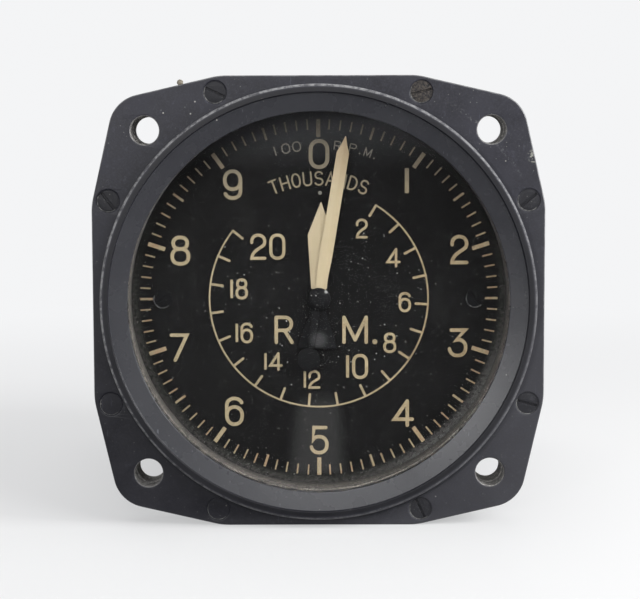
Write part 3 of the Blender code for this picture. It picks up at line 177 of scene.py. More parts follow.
# Connector
CONNECTOR_HALF, CONNECTOR_CORNER = 13.5, 3.0
CONNECTOR_FRONT, CONNECTOR_BACK = 98.5, 100.7
CONNECTOR_SCREW_PLACE = 9.9
BARREL_BORE, BARREL_RADIUS, THREAD_FLOOR = 8.5, 10.0, 9.5
THREAD_START, THREAD_TURNS = 101.4, 8

# Stage
PALE = (0.905, 0.91, 0.92, 1)             # the surround
SURROUND_LIGHT = 0.45                     # share of its brightness that lights the part
FLOOR_LIFT = 0.52                         # share of the floor's brightness that no shadow darkens
FLOOR_RINGS, FLOOR_SIDES = (60, 150, 300, 600, 1200, 2500, 6000), 64

# Lamps, all aimed at the middle of the flange: name, x, depth, z, width, height, power
LAMPS = [
    ("left_card", -235, -640, 100, 90, 120, 1.0),
    ("top_card", 0, -600, 215, 160, 90, 0.60),
    ("key", 260, -330, 270, 200, 200, 0.85),
    ("right_side", 450, -120, 200, 220, 220, 2.5),
    ("top", -40, 260, 620, 600, 600, 1.4),
]


def place(x, depth, z):
    """A point in metres from millimetres and a depth."""
    return Vector((x, depth + FRONT, z)) * MM


def on_circle(radius, clock):
    """x and z of a point at an angle clockwise from the top, in degrees."""
    return radius * sin(radians(clock)), radius * cos(radians(clock))


def spread(first, last, count):
    """Values at even steps from first to last, both included."""
    return [first + (last - first) * k / count for k in range(count + 1)]


def clockwise(points, angle, x=0.0, z=0.0):
    """Points turned clockwise by degrees and then moved by x, z."""
    c, s = cos(radians(angle)), sin(radians(angle))
    return [(x + px * c + pz * s, z - px * s + pz * c) for px, pz in points]


def shade(colour, share):
    return tuple(share * c for c in colour)


SCREW_PLACES = [on_circle(SCREW_PLACE, clock) for clock, _, _ in SCREW_STATES]


# Materials

class Nodes:
    """A node tree, with short ways to add nodes to it."""

    def __init__(self, tree):
        self.tree = tree

    def put(self, value, socket):
        """Gives a socket a value, or a link where the value is another node's output."""
        if isinstance(value, bpy.types.NodeSocket):
            self.tree.links.new(value, socket)
        else:
            socket.default_value = value

    def node(self, kind, settings=None, **inputs):
        made = self.tree.nodes.new(kind)
        for key, value in (settings or {}).items():
            setattr(made, key, value)
        for key, value in inputs.items():
            self.put(value, made.inputs[key.replace("_", " ")])
        return made

    def maths(self, operation, a, b=0.0):
        made = self.node("ShaderNodeMath", {"operation": operation})
        self.put(a, made.inputs[0])
        self.put(b, made.inputs[1])
        return made.outputs[0]

    def times(self, product, *factors):
        """The product of masks and numbers."""
        for factor in factors:
            product = self.maths("MULTIPLY", product, factor)
        return product

    def length(self, a, b):
        """The length of a line that reaches a one way and b across it."""
        return self.maths("SQRT", self.maths("ADD", self.maths("POWER", a, 2.0), self.maths("POWER", b, 2.0)))

    def seen(self):
        """1 for rays that show the surface, 0 for rays that only bring its light to others."""
        path = self.node("ShaderNodeLightPath").outputs
        straight = self.maths("MAXIMUM", path["Is Camera Ray"], path["Is Glossy Ray"])
        return self.maths("MAXIMUM", straight, path["Is Transmission Ray"])


class Paint(Nodes):
    """A principled material built up from a few kinds of layer."""

    def __init__(self, name, colour, rough, metallic=0.0, specular=0.5):
        self.material = bpy.data.materials.new(name)
        self.material.use_nodes = True
        super().__init__(self.material.node_tree)
        self.shader = self.tree.nodes["Principled BSDF"]
        self.coordinates = self.node("ShaderNodeTexCoord").outputs["Object"]
        self.colour = (*colour, 1)
        self.rough = rough
        self.set("Metallic", metallic)
        self.set("Specular IOR Level", specular)
        self.set("Roughness", rough)

    def set(self, name, value):
        """Gives one of the shader's own inputs a value or a link."""
        self.put(value, self.shader.inputs[name])

    def step(self, value, low, high, to_low=0.0, to_high=1.0):
        """value turned from low..high into to_low..to_high, smoothly and held at the ends."""
        made = self.node("ShaderNodeMapRange", {"interpolation_type": "SMOOTHSTEP"}, Value=value,
                         From_Min=low, From_Max=high, To_Min=to_low, To_Max=to_high)
        return made.outputs["Result"]

    def near(self, value, middle, wide, narrow):
        """1 where value is within narrow of the middle, falling to 0 at wide."""
        return self.step(self.maths("ABSOLUTE", self.maths("SUBTRACT", value, middle)), wide, narrow)

    def noise(self, size, detail=2.0, roughness=0.5, stretch=None):
        """Noise whose features are about size millimetres across."""
        vector = self.coordinates
        if stretch:
            vector = self.node("ShaderNodeMapping", Vector=vector, Scale=stretch).outputs["Vector"]
        return self.node("ShaderNodeTexNoise", Vector=vector, Scale=1 / (size * MM), Detail=detail,
                         Roughness=roughness).outputs["Fac"]

    def cloud(self, size, detail, roughness, low, high, to_low=0.0, to_high=1.0):
        """A mask of patches: noise that goes through a step."""
        return self.step(self.noise(size, detail, roughness), low, high, to_low, to_high)

    def specks(self, pitch, size, share):
        """Small round specks, one in a share of the cells that are pitch millimetres apart."""
        cells = self.node("ShaderNodeTexVoronoi", Vector=self.coordinates, Scale=1 / (pitch * MM))
        middles = self.step(cells.outputs["Distance"], size / pitch, 0.4 * size / pitch)
        chance = self.node("ShaderNodeSeparateColor", Color=cells.outputs["Color"]).outputs["Red"]
        return self.times(middles, self.maths("LESS_THAN", chance, share))

    def waves(self, value, pitch):
        """Even waves along a value, one in every pitch millimetres."""
        return self.maths("SINE", self.times(value, 2 * pi / pitch))

    def along(self, axis):
        """Place along an axis, in millimetres from the origin."""
        parts = self.node("ShaderNodeSeparateXYZ", Vector=self.coordinates)
        return self.maths("DIVIDE", parts.outputs[axis], MM)

    def slant(self, x_share, z_share):
        """Shares of the place along X and along Z, added up."""
        return self.maths("ADD", self.times(self.along("X"), x_share), self.times(self.along("Z"), z_share))

    def radius(self):
        """Distance from the instrument's axis, in millimetres."""
        return self.length(self.along("X"), self.along("Z"))

    def spot(self, x, z, radius):
        """1 at a place on the face, falling to 0 at a radius around it, in millimetres."""
        off = [self.maths("SUBTRACT", self.along(axis), at) for axis, at in (("X", x), ("Z", z))]
        return self.step(self.length(*off), radius, 0.3 * radius)

    def tint(self, mask, colour):
        """Goes over to another colour where the mask is 1."""
        mix = self.node("ShaderNodeMix", {"data_type": "RGBA"})
        self.put(mask, mix.inputs[0])
        self.put(self.colour, mix.inputs[6])
        self.put((*colour, 1), mix.inputs[7])
        self.colour = mix.outputs[2]

    def blend(self, value, low, high, amount, colour):
        """Goes over to another colour, by the amount at most, as value runs from low to high."""
        self.tint(self.step(value, low, high, 0.0, amount), colour)

    def cover(self, mask, other):
        """Lays another shader over the paint where the mask is 1."""
        mix = self.node("ShaderNodeMixShader", Fac=mask)
        self.put(self.shader.outputs[0], mix.inputs[1])
        self.put(other.outputs[0], mix.inputs[2])
        self.put(mix.outputs[0], self.tree.nodes["Material Output"].inputs["Surface"])

    def finish(self, bump=None, height=0.0, patches=None, rough_to=0.0):
        """Sets the colour, the bump with its height in millimetres, and the patches of another roughness."""
        self.set("Base Color", self.colour)
        if bump is not None:
            relief = self.node("ShaderNodeBump", Strength=1.0, Distance=height * MM, Height=bump)
            self.set("Normal", relief.outputs["Normal"])
        if patches is not None:
            self.set("Roughness", self.step(patches, 0.3, 0.7, self.rough, rough_to))
        return self.material


def old_enamel(name, colour, worn, rough, dust=0.6, wear=1.0, specular=0.45):
    """Old satin enamel: soft patches, fine grain, dust specks and short scratches."""
    paint = Paint(name, colour, rough, specular=specular)
    grain = paint.noise(0.30, 4.0, 0.7)
    patches = paint.noise(9.0, 4.0, 0.6)
    paint.blend(patches, 0.3, 0.7, 0.8 * wear, worn)
    paint.blend(grain, 0.42, 0.72, wear, worn)
    paint.tint(paint.cloud(1.6, 5.0, 0.75, 0.56, 0.78, 0.0, wear), shade(worn, 1.7))
    scratches = paint.step(paint.noise(0.22, 0.0, 0.5, (1.0, 1.0, 0.05)), 0.79, 0.83)
    paint.tint(paint.times(scratches, paint.cloud(6.0, 2.0, 0.5, 0.5, 0.62), 0.6), shade(worn, 3.2))
    dusty = paint.times(paint.cloud(0.42, 3.0, 0.8, 0.56, 0.70),
                        paint.cloud(5.0, 3.0, 0.6, 0.42, 0.60, 0.15, 1.0))
    paint.tint(paint.times(dusty, 0.6 * dust), (0.085, 0.085, 0.088))
    paint.tint(paint.times(paint.specks(1.1, 0.13, dust), 0.7), (0.17, 0.17, 0.165))
    paint.tint(paint.times(paint.specks(2.6, 0.20, dust), 0.9), (0.36, 0.35, 0.33))
    return paint, grain, patches


def plain_enamel(name, colour, worn, rough, rough_to, height, dust, wear=1.0, specular=0.45):
    """Old enamel with nothing more on it, as on the screw heads and the rim's sloping band."""
    paint, grain, patches = old_enamel(name, colour, worn, rough, dust, wear, specular)
    return paint.finish(grain, height, patches, rough_to)


def bezel_enamel(name):
    """Painted light and shade on the flange, paler to the right and darker to the lower left; a rim face
    painted darker as shade; an arris of worn paint with a painted highlight, strongest at the top left; and a
    chip by the right edge.
    """
    paint, grain, patches = old_enamel(name, (0.0130, 0.0130, 0.0180), (0.028, 0.028, 0.038), 0.37,
                                       specular=0.28)
    radius = paint.radius()
    # Painted light and shade: the flange paler towards the right and darker towards the lower left.
    paint.blend(paint.slant(1.0, -0.6), 15.0, 50.0, 0.6, (0.046, 0.046, 0.052))
    paint.blend(paint.slant(1.0, 1.0), -25.0, -65.0, 0.6, (0.008, 0.008, 0.011))
    # Painted shade: the rim's front face, between the band and the arris, darker.
    high = paint.step(paint.along("Y"), FRONT - 2.2, FRONT - 2.6)
    face = paint.times(high, paint.step(radius, 38.0, 38.3), paint.step(radius, 39.3, 38.9), 0.8)
    paint.tint(face, (0.006, 0.006, 0.008))
    # Worn paint along the arris, with a painted highlight that is strongest towards the top left.
    worn_and_highlit = paint.times(paint.cloud(1.0, 4.0, 0.75, 0.38, 0.60, 0.2, 1.0),
                         paint.step(paint.slant(-0.6, 1.0), -35.0, 40.0, 0.3, 1.0))
    paint.tint(paint.times(high, paint.near(radius, 39.5, 0.32, 0.12), worn_and_highlit), (0.24, 0.24, 0.245))
    chip = paint.times(paint.spot(39.3, 26.6, 1.7), paint.cloud(0.45, 4.0, 0.7, 0.50, 0.58), 0.9)
    paint.tint(chip, (0.34, 0.34, 0.30))
    rub = paint.times(paint.near(radius, 43.4, 0.5, 0.1), paint.spot(30.5, 30.5, 13.0),
                      paint.cloud(0.5, 4.0, 0.8, 0.5, 0.64), 0.7)
    paint.tint(rub, (0.12, 0.12, 0.125))
    return paint.finish(grain, 0.009, patches, 0.50)


def edge_enamel(name):
    """The flange's paint along its front edge: worn thin, and paler mostly above as a painted highlight."""
    paint, grain, patches = old_enamel(name, (0.020, 0.020, 0.025), (0.034, 0.034, 0.042), 0.40)
    # Worn paint with a painted highlight, stronger towards the top.
    worn_and_highlit = paint.times(paint.cloud(2.5, 4.0, 0.7, 0.40, 0.60, 0.25, 1.0),
                         paint.step(paint.along("Z"), -30.0, 20.0, 0.2, 1.0))
    paint.tint(worn_and_highlit, (0.15, 0.15, 0.155))
    return paint.finish(grain, 0.009, patches, 0.50)


def crackle_enamel(name):
    """The case's paint, with a fine crackle in its surface."""
    paint, _, patches = old_enamel(name, (0.030, 0.031, 0.034), (0.044, 0.045, 0.048), 0.5, 0.2)
    crackle = paint.node("ShaderNodeTexVoronoi", {"feature": "DISTANCE_TO_EDGE"}, Vector=paint.coordinates,
                         Scale=1 / (0.55 * MM)).outputs["Distance"]
    return paint.finish(paint.step(crackle, 0.0, 0.25), 0.03, patches, 0.62)


def dusty_wall(name):
    """The wall between lip and dial, paler towards the top as painted light, with brown dust lying in it,
    most on the left and below.
    """
    paint = Paint(name, (0.036, 0.034, 0.033), 0.8, specular=0.3)
    # Painted light: paler towards the top, where the rim shades it.
    paint.blend(paint.along("Z"), 4.0, 26.0, 1.0, (0.120, 0.120, 0.126))
    dust = paint.noise(1.7, 5.0, 0.8)
    front = FRONT + SPACER_FRONT
    there = paint.times(paint.step(paint.along("Y"), front + 5.0, front + 0.4, 0.25, 1.0),
                        paint.step(paint.slant(1.0, 0.8), 10.0, -30.0, 0.80, 0.95),
                        paint.cloud(0.45, 3.0, 0.8, 0.40, 0.60, 0.35, 1.0))
    paint.tint(paint.times(there, paint.step(dust, 0.36, 0.58, 0.15, 1.0)), (0.200, 0.178, 0.155))
    paint.tint(paint.times(there, paint.cloud(0.6, 4.0, 0.8, 0.54, 0.64, 0.0, 0.7)), (0.42, 0.39, 0.35))
    return paint.finish(dust, 0.08, dust, 0.9)


def dial_black(name):
    """Matt black, greyer at the top as painted light, with dust along the edge and fine specks lower down."""
    paint = Paint(name, (0.0048, 0.0046, 0.0047), 0.7, specular=0.06)
    radius, z = paint.radius(), paint.along("Z")
    paint.tint(paint.cloud(7.0, 4.0, 0.6, 0.4, 0.75, 0.0, 0.6), (0.0076, 0.0074, 0.0075))
    # Painted light: greyer towards the top, lifting the rim's shadow.
    paint.blend(z, 23.0, 36.0, 1.0, (0.044, 0.0445, 0.048))
    edge = paint.times(paint.step(radius, 32.9, 34.8), paint.cloud(0.6, 4.0, 0.8, 0.36, 0.60, 0.15, 1.0))
    paint.tint(paint.times(edge, paint.step(z, 14.0, -8.0, 0.1, 0.5)), (0.095, 0.092, 0.085))
    paint.tint(paint.times(edge, paint.spot(25.0, -23.0, 20.0)), (0.085, 0.084, 0.082))
    lower = paint.times(paint.step(z, 24.0, 6.0, 0.15, 1.0), paint.step(radius, 26.0, 14.0, 0.35, 1.0))
    for pitch, size, grey in ((2.6, 0.17, 0.44), (1.6, 0.14, 0.42), (1.0, 0.11, 0.34)):
        paint.tint(paint.times(paint.specks(pitch, size, 0.8), lower), (grey, grey, 0.95 * grey))
    return paint.finish(paint.noise(0.3, 2.0, 0.6), 0.0008)


def aged_filling(name, colour, stain):
    """The marks' paint with stains and tiny holes, and painted shade: dimmer towards the top and on the left.
    """
    paint = Paint(name, colour, 0.6, specular=0.35)
    x, z = paint.along("X"), paint.along("Z")
    stains = paint.noise(0.7, 4.0, 0.7)
    paint.blend(stains, 0.42, 0.66, 0.85, stain)
    paint.tint(paint.cloud(4.0, 2.0, 0.5, 0.48, 0.66, 0.0, 0.6), shade(stain, 0.8))
    # Painted shade: darker on the left, away from the light.
    paint.blend(x, 22.0, -6.0, 0.85, shade(colour, 0.76))
    paint.blend(x, 10.0, 24.0, 0.35, stain)
    browned = paint.times(paint.step(paint.radius(), 28.5, 31.5, 0.1, 0.8),
                          paint.cloud(1.6, 3.0, 0.6, 0.44, 0.60))
    paint.tint(browned, (0.300, 0.190, 0.108))
    paint.tint(paint.cloud(0.28, 3.0, 0.75, 0.52, 0.68, 0.0, 0.75), shade(stain, 0.35))
    # Painted shade: dimmer towards the top, under the rim.
    paint.blend(z, 13.0, 27.0, 0.72, (0.100, 0.089, 0.070))
    paint.blend(z, 27.0, 31.5, 0.5, (0.036, 0.035, 0.034))
    return paint.finish(paint.noise(0.15, 3.0, 0.6), 0.02, stains, 0.72)


def black_with_painted_glints(name):
    """Matt black on the hub and the tails, with a painted reflection in the middle of the tail and a pale
    spot of chipped paint with a painted glint on the hub.
    """
    paint = Paint(name, (0.0040, 0.0040, 0.0045), 0.5, specular=0.09)
    # Painted reflection: a paler spot in the middle of the tail.
    paint.tint(paint.spot(0.0, -7.6, 2.1), (0.034, 0.034, 0.035))
    # A pale spot at the hub's upper right: chipped paint, with a painted glint.
    paint.tint(paint.spot(1.40, 1.50, 0.45), (0.28, 0.28, 0.27))
    paint.tint(paint.specks(1.3, 0.13, 1.0), (0.40, 0.40, 0.38))
    return paint.finish(paint.noise(0.2, 3.0, 0.6), 0.006)


def smooth_cream(name):
    """Smooth cream paint, darker and browner towards the long pointer's end."""
    paint = Paint(name, (0.375, 0.305, 0.190), 0.5, specular=0.4)
    paint.blend(paint.radius(), 18.0, 30.5, 0.8, (0.265, 0.185, 0.103))
    paint.tint(paint.cloud(1.6, 3.0, 0.6, 0.45, 0.75, 0.0, 0.6), (0.345, 0.280, 0.165))
    paint.tint(paint.cloud(0.3, 2.0, 0.6, 0.62, 0.78, 0.0, 0.3), (0.34, 0.27, 0.17))
    return paint.finish(paint.noise(0.25, 3.0, 0.6), 0.015)


def metal(name, colour, rough, darker, grain=(0.12, 0.12, 0.12), metallic=1.0):
    """Worked metal: a fine grain along one direction, tarnish in patches."""
    paint = Paint(name, colour, rough, metallic)
    tarnish = paint.noise(3.0, 4.0, 0.65)
    paint.blend(tarnish, 0.45, 0.75, 0.65, darker)
    lines = paint.noise(1.0, 3.0, 0.7, tuple(1 / g for g in grain))
    paint.blend(lines, 0.35, 0.8, 0.3, shade(darker, 0.75))
    return paint.finish(lines, 0.006, tarnish, min(rough + 0.15, 0.9))


def turned_metal(name, colour, rough, darker, metallic=1.0):
    """Metal with the fine rings that a lathe leaves around the axis."""
    paint = Paint(name, colour, rough, metallic)
    tarnish = paint.noise(4.0, 4.0, 0.65)
    rings = paint.waves(paint.radius(), 0.18)
    paint.blend(tarnish, 0.45, 0.75, 0.6, darker)
    paint.blend(rings, -0.4, 1.0, 0.16, shade(darker, 0.7))
    return paint.finish(rings, 0.004, tarnish, min(rough + 0.15, 0.9))


def laminated_iron(name):
    """Iron stampings, seen as thin lines along the axis."""
    paint = Paint(name, (0.17, 0.165, 0.16), 0.5, 0.75)
    sheets = paint.waves(paint.along("Y"), 0.5)
    paint.blend(sheets, 0.2, 0.9, 0.7, (0.05, 0.045, 0.04))
    paint.tint(paint.cloud(2.0, 4.0, 0.7, 0.55, 0.8, 0.0, 0.5), (0.16, 0.09, 0.05))
    return paint.finish(sheets, 0.03)


def wound_wire(name):
    """Varnished copper wire laid round the axis."""
    paint = Paint(name, (0.36, 0.12, 0.045), 0.32, 0.35)
    turns = paint.waves(paint.radius(), 0.55)
    paint.blend(turns, 0.5, -0.9, 0.85, (0.07, 0.018, 0.008))
    paint.tint(paint.cloud(1.6, 3.0, 0.6, 0.5, 0.8, 0.0, 0.4), (0.22, 0.10, 0.03))
    return paint.finish(turns, 0.12)


def woven_sleeve(name):
    """Cotton sleeve: two sets of threads across each other."""
    paint = Paint(name, (0.46, 0.42, 0.33), 0.85, specular=0.2)
    weave = paint.times(*[
        paint.node("ShaderNodeTexWave", {"bands_direction": way}, Vector=paint.coordinates, Scale=scale,
                   Distortion=0.6).outputs["Fac"] for way, scale in (("DIAGONAL", 420.0), ("Y", 520.0))])
    paint.blend(weave, 0.4, 0.0, 0.7, (0.22, 0.19, 0.13))
    return paint.finish(weave, 0.08)


def moulded(name, colour, paler, rough, specular=0.5):
    """Moulded plastic or rubber with a faint flow pattern."""
    paint = Paint(name, colour, rough, specular=specular)
    flow = paint.noise(4.0, 4.0, 0.6, (1.0, 2.5, 1.0))
    paint.blend(flow, 0.45, 0.75, 0.7, paler)
    return paint.finish(paint.noise(0.2, 3.0, 0.6), 0.012, flow, min(rough + 0.12, 0.95))


def clear_glass(name):
    """Clear glass that lets the lamps' light through, with wiping marks."""
    paint = Paint(name, (1.0, 1.0, 1.0), 0.03)
    paint.set("Transmission Weight", 1.0)
    paint.set("IOR", 1.45)
    smear = paint.noise(5.0, 4.0, 0.6, (1.0, 1.0, 0.4))
    paint.set("Roughness", paint.step(smear, 0.45, 0.75, 0.03, 0.09))
    clear = paint.node("ShaderNodeBsdfTransparent", Color=(0.97, 0.98, 0.98, 1))
    paint.cover(paint.node("ShaderNodeLightPath").outputs["Is Shadow Ray"], clear)
    return paint.finish()


def crusty(name, colour, crust, size):
    """Corroded or dusty material: crumbs and hollows."""
    paint = Paint(name, colour, 0.85, specular=0.25)
    crumbs = paint.noise(size, 5.0, 0.75)
    paint.blend(crumbs, 0.42, 0.62, 0.9, crust)
    paint.tint(paint.cloud(0.4 * size, 2.0, 0.5, 0.6, 0.75, 0.0, 0.6), shade(crust, 1.8))
    return paint.finish(crumbs, 0.12)


# Each look: name, what makes it, and its values after the name
LOOKS = {name: make(name, *values) for name, make, *values in [
    ("black_paint", bezel_enamel),
    ("ring_paint", plain_enamel, (0.029, 0.0295, 0.035), (0.041, 0.042, 0.048), 0.25, 0.29, 0.001,
     0.15, 0.45),
    ("case_paint", crackle_enamel),
    ("screw_steel", metal, (0.060, 0.060, 0.064), 0.45, (0.028, 0.028, 0.030), (0.12, 0.12, 0.12), 0.5),
    ("screw_rusty", crusty, (0.020, 0.0195, 0.021), (0.085, 0.073, 0.064), 0.4),
    ("screw_paint", plain_enamel, (0.009, 0.009, 0.012), (0.024, 0.024, 0.028), 0.45, 0.6, 0.006,
     1.0, 1.0, 0.22),
    ("edge_wear", edge_enamel),
    ("window_glass", clear_glass),
    ("gasket_rubber", moulded, (0.020, 0.019, 0.018), (0.034, 0.032, 0.030), 0.8),
    ("spacer_paint", dusty_wall),
    ("dial_paint", dial_black),
    ("scale_cream", aged_filling, (0.38, 0.31, 0.185), (0.27, 0.195, 0.105)),
    ("scale_grey", aged_filling, (0.25, 0.245, 0.215), (0.17, 0.165, 0.14)),
    ("dial_screw_black", moulded, (0.0035, 0.0035, 0.0040), (0.007, 0.007, 0.007), 0.6, 0.08),
    ("pointer_cream", smooth_cream),
    ("pointer_black", black_with_painted_glints),
    ("frame_brass", metal, (0.60, 0.45, 0.20), 0.32, (0.40, 0.27, 0.10), (0.2, 1.0, 0.2)),
    ("gear_brass", turned_metal, (0.72, 0.54, 0.25), 0.25, (0.50, 0.35, 0.14)),
    ("polished_steel", metal, (0.56, 0.56, 0.57), 0.2, (0.38, 0.38, 0.39), (0.5, 0.06, 0.5)),
    ("spring_bronze", metal, (0.62, 0.42, 0.22), 0.25, (0.42, 0.25, 0.10), (0.3, 1.0, 0.3)),
    ("cup_copper", turned_metal, (0.74, 0.37, 0.23), 0.28, (0.48, 0.20, 0.12)),
    ("magnet_steel", turned_metal, (0.24, 0.24, 0.25), 0.4, (0.13, 0.12, 0.12), 0.8),
    ("drum_iron", turned_metal, (0.30, 0.30, 0.31), 0.42, (0.18, 0.16, 0.15), 0.9),
    ("shield_aluminium", turned_metal, (0.62, 0.63, 0.64), 0.38, (0.45, 0.45, 0.46)),
    ("core_iron", laminated_iron),
    ("winding_enamel", wound_wire),
    ("connector_metal", metal, (0.46, 0.46, 0.45), 0.42, (0.26, 0.26, 0.25), (0.1, 0.8, 0.1)),
    ("insulator_plastic", moulded, (0.050, 0.028, 0.020), (0.085, 0.045, 0.028), 0.4),
    ("pin_gold", metal, (0.80, 0.60, 0.26), 0.2, (0.60, 0.40, 0.15), (0.3, 0.1, 0.3)),
    ("lead_sleeve", woven_sleeve),
    ("hole_dust", crusty, (0.16, 0.155, 0.155), (0.36, 0.35, 0.33), 0.7),
    ("dust_line", crusty, (0.045, 0.045, 0.047), (0.17, 0.17, 0.165), 0.8),
    ("chipped_metal", crusty, (0.16, 0.14, 0.11), (0.34, 0.31, 0.25), 0.35),
]}


# Mesh helpers

def in_scene(name, data):
    """A new object, linked to the scene."""
    made = bpy.data.objects.new(name, data)
    bpy.context.scene.collection.objects.link(made)
    return made


def add(name, mesh, looks, body=HOUSING, stands_for=()):
    """Makes the piece, gives it its materials and its body, and hides what it stands for."""
    for look in looks:
        mesh.materials.append(LOOKS[look])
    piece = in_scene(name, mesh)
    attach(piece, body)
    if stands_for:
        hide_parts(*stands_for)


def dress(node, mesh, looks, body=HOUSING):
    """Makes the piece that stands for one node."""
    add(f"{node}_skin", mesh, looks, body, [node])


def shaped(holder):
    """The mesh that an object's curve or modifiers make. The object goes."""
    mesh = bpy.data.meshes.new_from_object(holder.evaluated_get(bpy.context.evaluated_depsgraph_get()))
    bpy.data.objects.remove(holder)
    return mesh


def emptied(builder, name):
    """The builder's shape as a mesh. The builder goes."""
    mesh = bpy.data.meshes.new(name)
    builder.to_mesh(mesh)
    builder.free()
    return mesh


def smooth(mesh, angle=35.0):
    """Smooth shading, sharp where faces meet at more than the angle, weighted so that flats stay flat."""
    mesh.shade_smooth()
    mesh.set_sharp_from_angle(angle=radians(angle))
    holder = in_scene("holder", mesh)
    weight = holder.modifiers.new("weight", "WEIGHTED_NORMAL")
    weight.keep_sharp = True
    weight.weight = 100
    return shaped(holder)


def to_mesh(builder, name, angle=35.0):
    """Welds what touches, turns the faces outward and shades the mesh."""
    bmesh.ops.remove_doubles(builder, verts=builder.verts, dist=1e-7)
    bmesh.ops.recalc_face_normals(builder, faces=builder.faces)
    return smooth(emptied(builder, name), angle)


def filleted(points, closed=True, steps=5):
    """A profile of (r, depth, rounding) points as (r, depth) points, with its corners rounded."""
    out = []
    count = len(points)
    for i, (r, d, rounding) in enumerate(points):
        if rounding <= 0 or (not closed and i in (0, count - 1)):
            out.append((r, d))
            continue
        here = Vector((r, d))
        before = Vector(points[i - 1][:2]) - here
        after = Vector(points[(i + 1) % count][:2]) - here
        opening = before.angle(after)
        reach = rounding / abs(sin(opening / 2)) * cos(opening / 2)
        reach = min(reach, 0.49 * before.length, 0.49 * after.length)
        start = here + before.normalized() * reach
        end = here + after.normalized() * reach
        for t in spread(0, 1, steps):
            out.append(tuple((1 - t) ** 2 * start + 2 * t * (1 - t) * here + t * t * end))
    return out


def bridge(builder, rows):
    """Faces between each row of vertices and the next. A row may be one vertex, repeated."""
    for one, two in zip(rows, rows[1:]):
        for k in range(len(one)):
            n = (k + 1) % len(one)
            corners = list(dict.fromkeys((one[k], two[k], two[n], one[n])))
            if len(corners) > 2:
                builder.faces.new(corners)


def turned(name, points, steps=TURN_STEPS, closed=True, move=(0.0, 0.0)):
    """A turned mesh from rounded profile points, with its axis moved to x, z."""
    builder = bmesh.new()
    rows = []
    for r, d in filleted(points, closed):
        if r < 1e-6:
            rows.append([builder.verts.new(place(0, d, 0))] * steps)
            continue
        circle = [on_circle(r, 360 * k / steps) for k in range(steps)]
        rows.append([builder.verts.new(place(x, d, z)) for x, z in circle])
    bridge(builder, rows + rows[:1] if closed else rows)
    bmesh.ops.translate(builder, verts=builder.verts, vec=Vector((move[0], 0, move[1])) * MM)
    return to_mesh(builder, name)


def disc(name, radius, front, back, steps=40, move=(0.0, 0.0), edges=(0.0, 0.0)):
    """A turned disc, with the rounding of its front edge and of its back edge."""
    points = [(0, front, 0), (radius, front, edges[0]), (radius, back, edges[1]), (0, back, 0)]
    return turned(name, points, steps, False, move)


def ring(name, inner, outer, fronts, back, edges, steps=TURN_STEPS, move=(0.0, 0.0)):
    """A turned ring, with its inner and outer front depths, and its front and back rounding."""
    return turned(name, [(inner, fronts[0], edges[0]), (outer, fronts[1], edges[0]), (outer, back, edges[1]),
                         (inner, back, edges[1])], steps, True, move)


def sheet_mesh(name, outlines, front, back, edge, edge_steps=3):
    """A plate between two depths from an outline and its holes, with rounded edges."""
    curve = bpy.data.curves.new(name, "CURVE")
    curve.dimensions = "2D"
    curve.fill_mode = "BOTH"
    curve.extrude = ((back - front) / 2 - edge) * MM
    curve.bevel_depth = edge * MM
    curve.bevel_resolution = edge_steps
    curve.offset = -edge * MM
    for outline in outlines:
        spline = curve.splines.new("POLY")
        spline.points.add(len(outline) - 1)
        spline.use_cyclic_u = True
        for point, (x, z) in zip(spline.points, outline):
            point.co = (x * MM, z * MM, 0, 1)
    mesh = shaped(in_scene(name, curve))
    mesh.transform(Matrix.Translation(place(0, (front + back) / 2, 0)) @ Matrix.Rotation(pi / 2, 4, "X"))
    builder = bmesh.new()
    builder.from_mesh(mesh)
    return to_mesh(builder, name)


def join(name, main, others=()):
    """Meshes as one: the main ones in the first material, the others in the second."""
    builder = bmesh.new()
    for number, meshes in enumerate((main, others)):
        for mesh in meshes:
            offset = len(builder.faces)
            builder.from_mesh(mesh)
            builder.faces.ensure_lookup_table()
            for face in builder.faces[offset:]:
                face.material_index = number
    return smooth(emptied(builder, name))


def circle_points(radius, steps=48, x=0.0, z=0.0):
    angles = [2 * pi * k / steps for k in range(steps)]
    return [(x + radius * cos(angle), z + radius * sin(angle)) for angle in angles]


def corners_of_square(half):
    return [(sx * half, sz * half) for sx in (-1, 1) for sz in (-1, 1)]


def flange_points():
    """The square flange: straight middles, sides that slope to rounded corners."""
    half = FLANGE_HALF
    reach = FLANGE_HALF - FLANGE_CUT
    slope = radians(FLANGE_SLOPE)
    corner = half - (half - reach) * sin(slope) / (cos(slope) + sin(slope))
    turn = pi / 4 - slope
    middle = corner - CORNER_RADIUS / cos(turn) / 2 ** 0.5
    bend, blend = reach - BLEND_RADIUS * tan(slope / 2), half - BLEND_RADIUS
    quarter = []
    for x, z, radius, start, end, steps in (
            (bend, blend, BLEND_RADIUS, pi / 2, pi / 2 - slope, BLEND_STEPS),
            (middle, middle, CORNER_RADIUS, pi / 2 - slope, slope, CORNER_STEPS),
            (blend, bend, BLEND_RADIUS, slope, 0.0, BLEND_STEPS)):
        quarter += [(x + radius * cos(angle), z + radius * sin(angle)) for angle in spread(start, end, steps)]
    points = []
    for k in range(4):
        points += [[(x, z), (z, -x), (-x, -z), (-z, x)][k] for x, z in quarter]
    return points


def flange_holes(radius):
    return [circle_points(radius, 48, x, z) for x, z in corners_of_square(HOLE_PLACE)]


# Strokes for numerals and letters

def bow(cx, cy, rx, ry, start, end, square=2.0):
    """Points on an oval from one angle to another, in degrees anticlockwise from the right."""
    power = 2 / square
    out = []
    for angle in spread(start, end, max(2, int(abs(end - start) / 9))):
        c, s = cos(radians(angle)), sin(radians(angle))
        out.append((cx + rx * abs(c) ** power * (1 if c >= 0 else -1),
                    cy + ry * abs(s) ** power * (1 if s >= 0 else -1)))
    return out


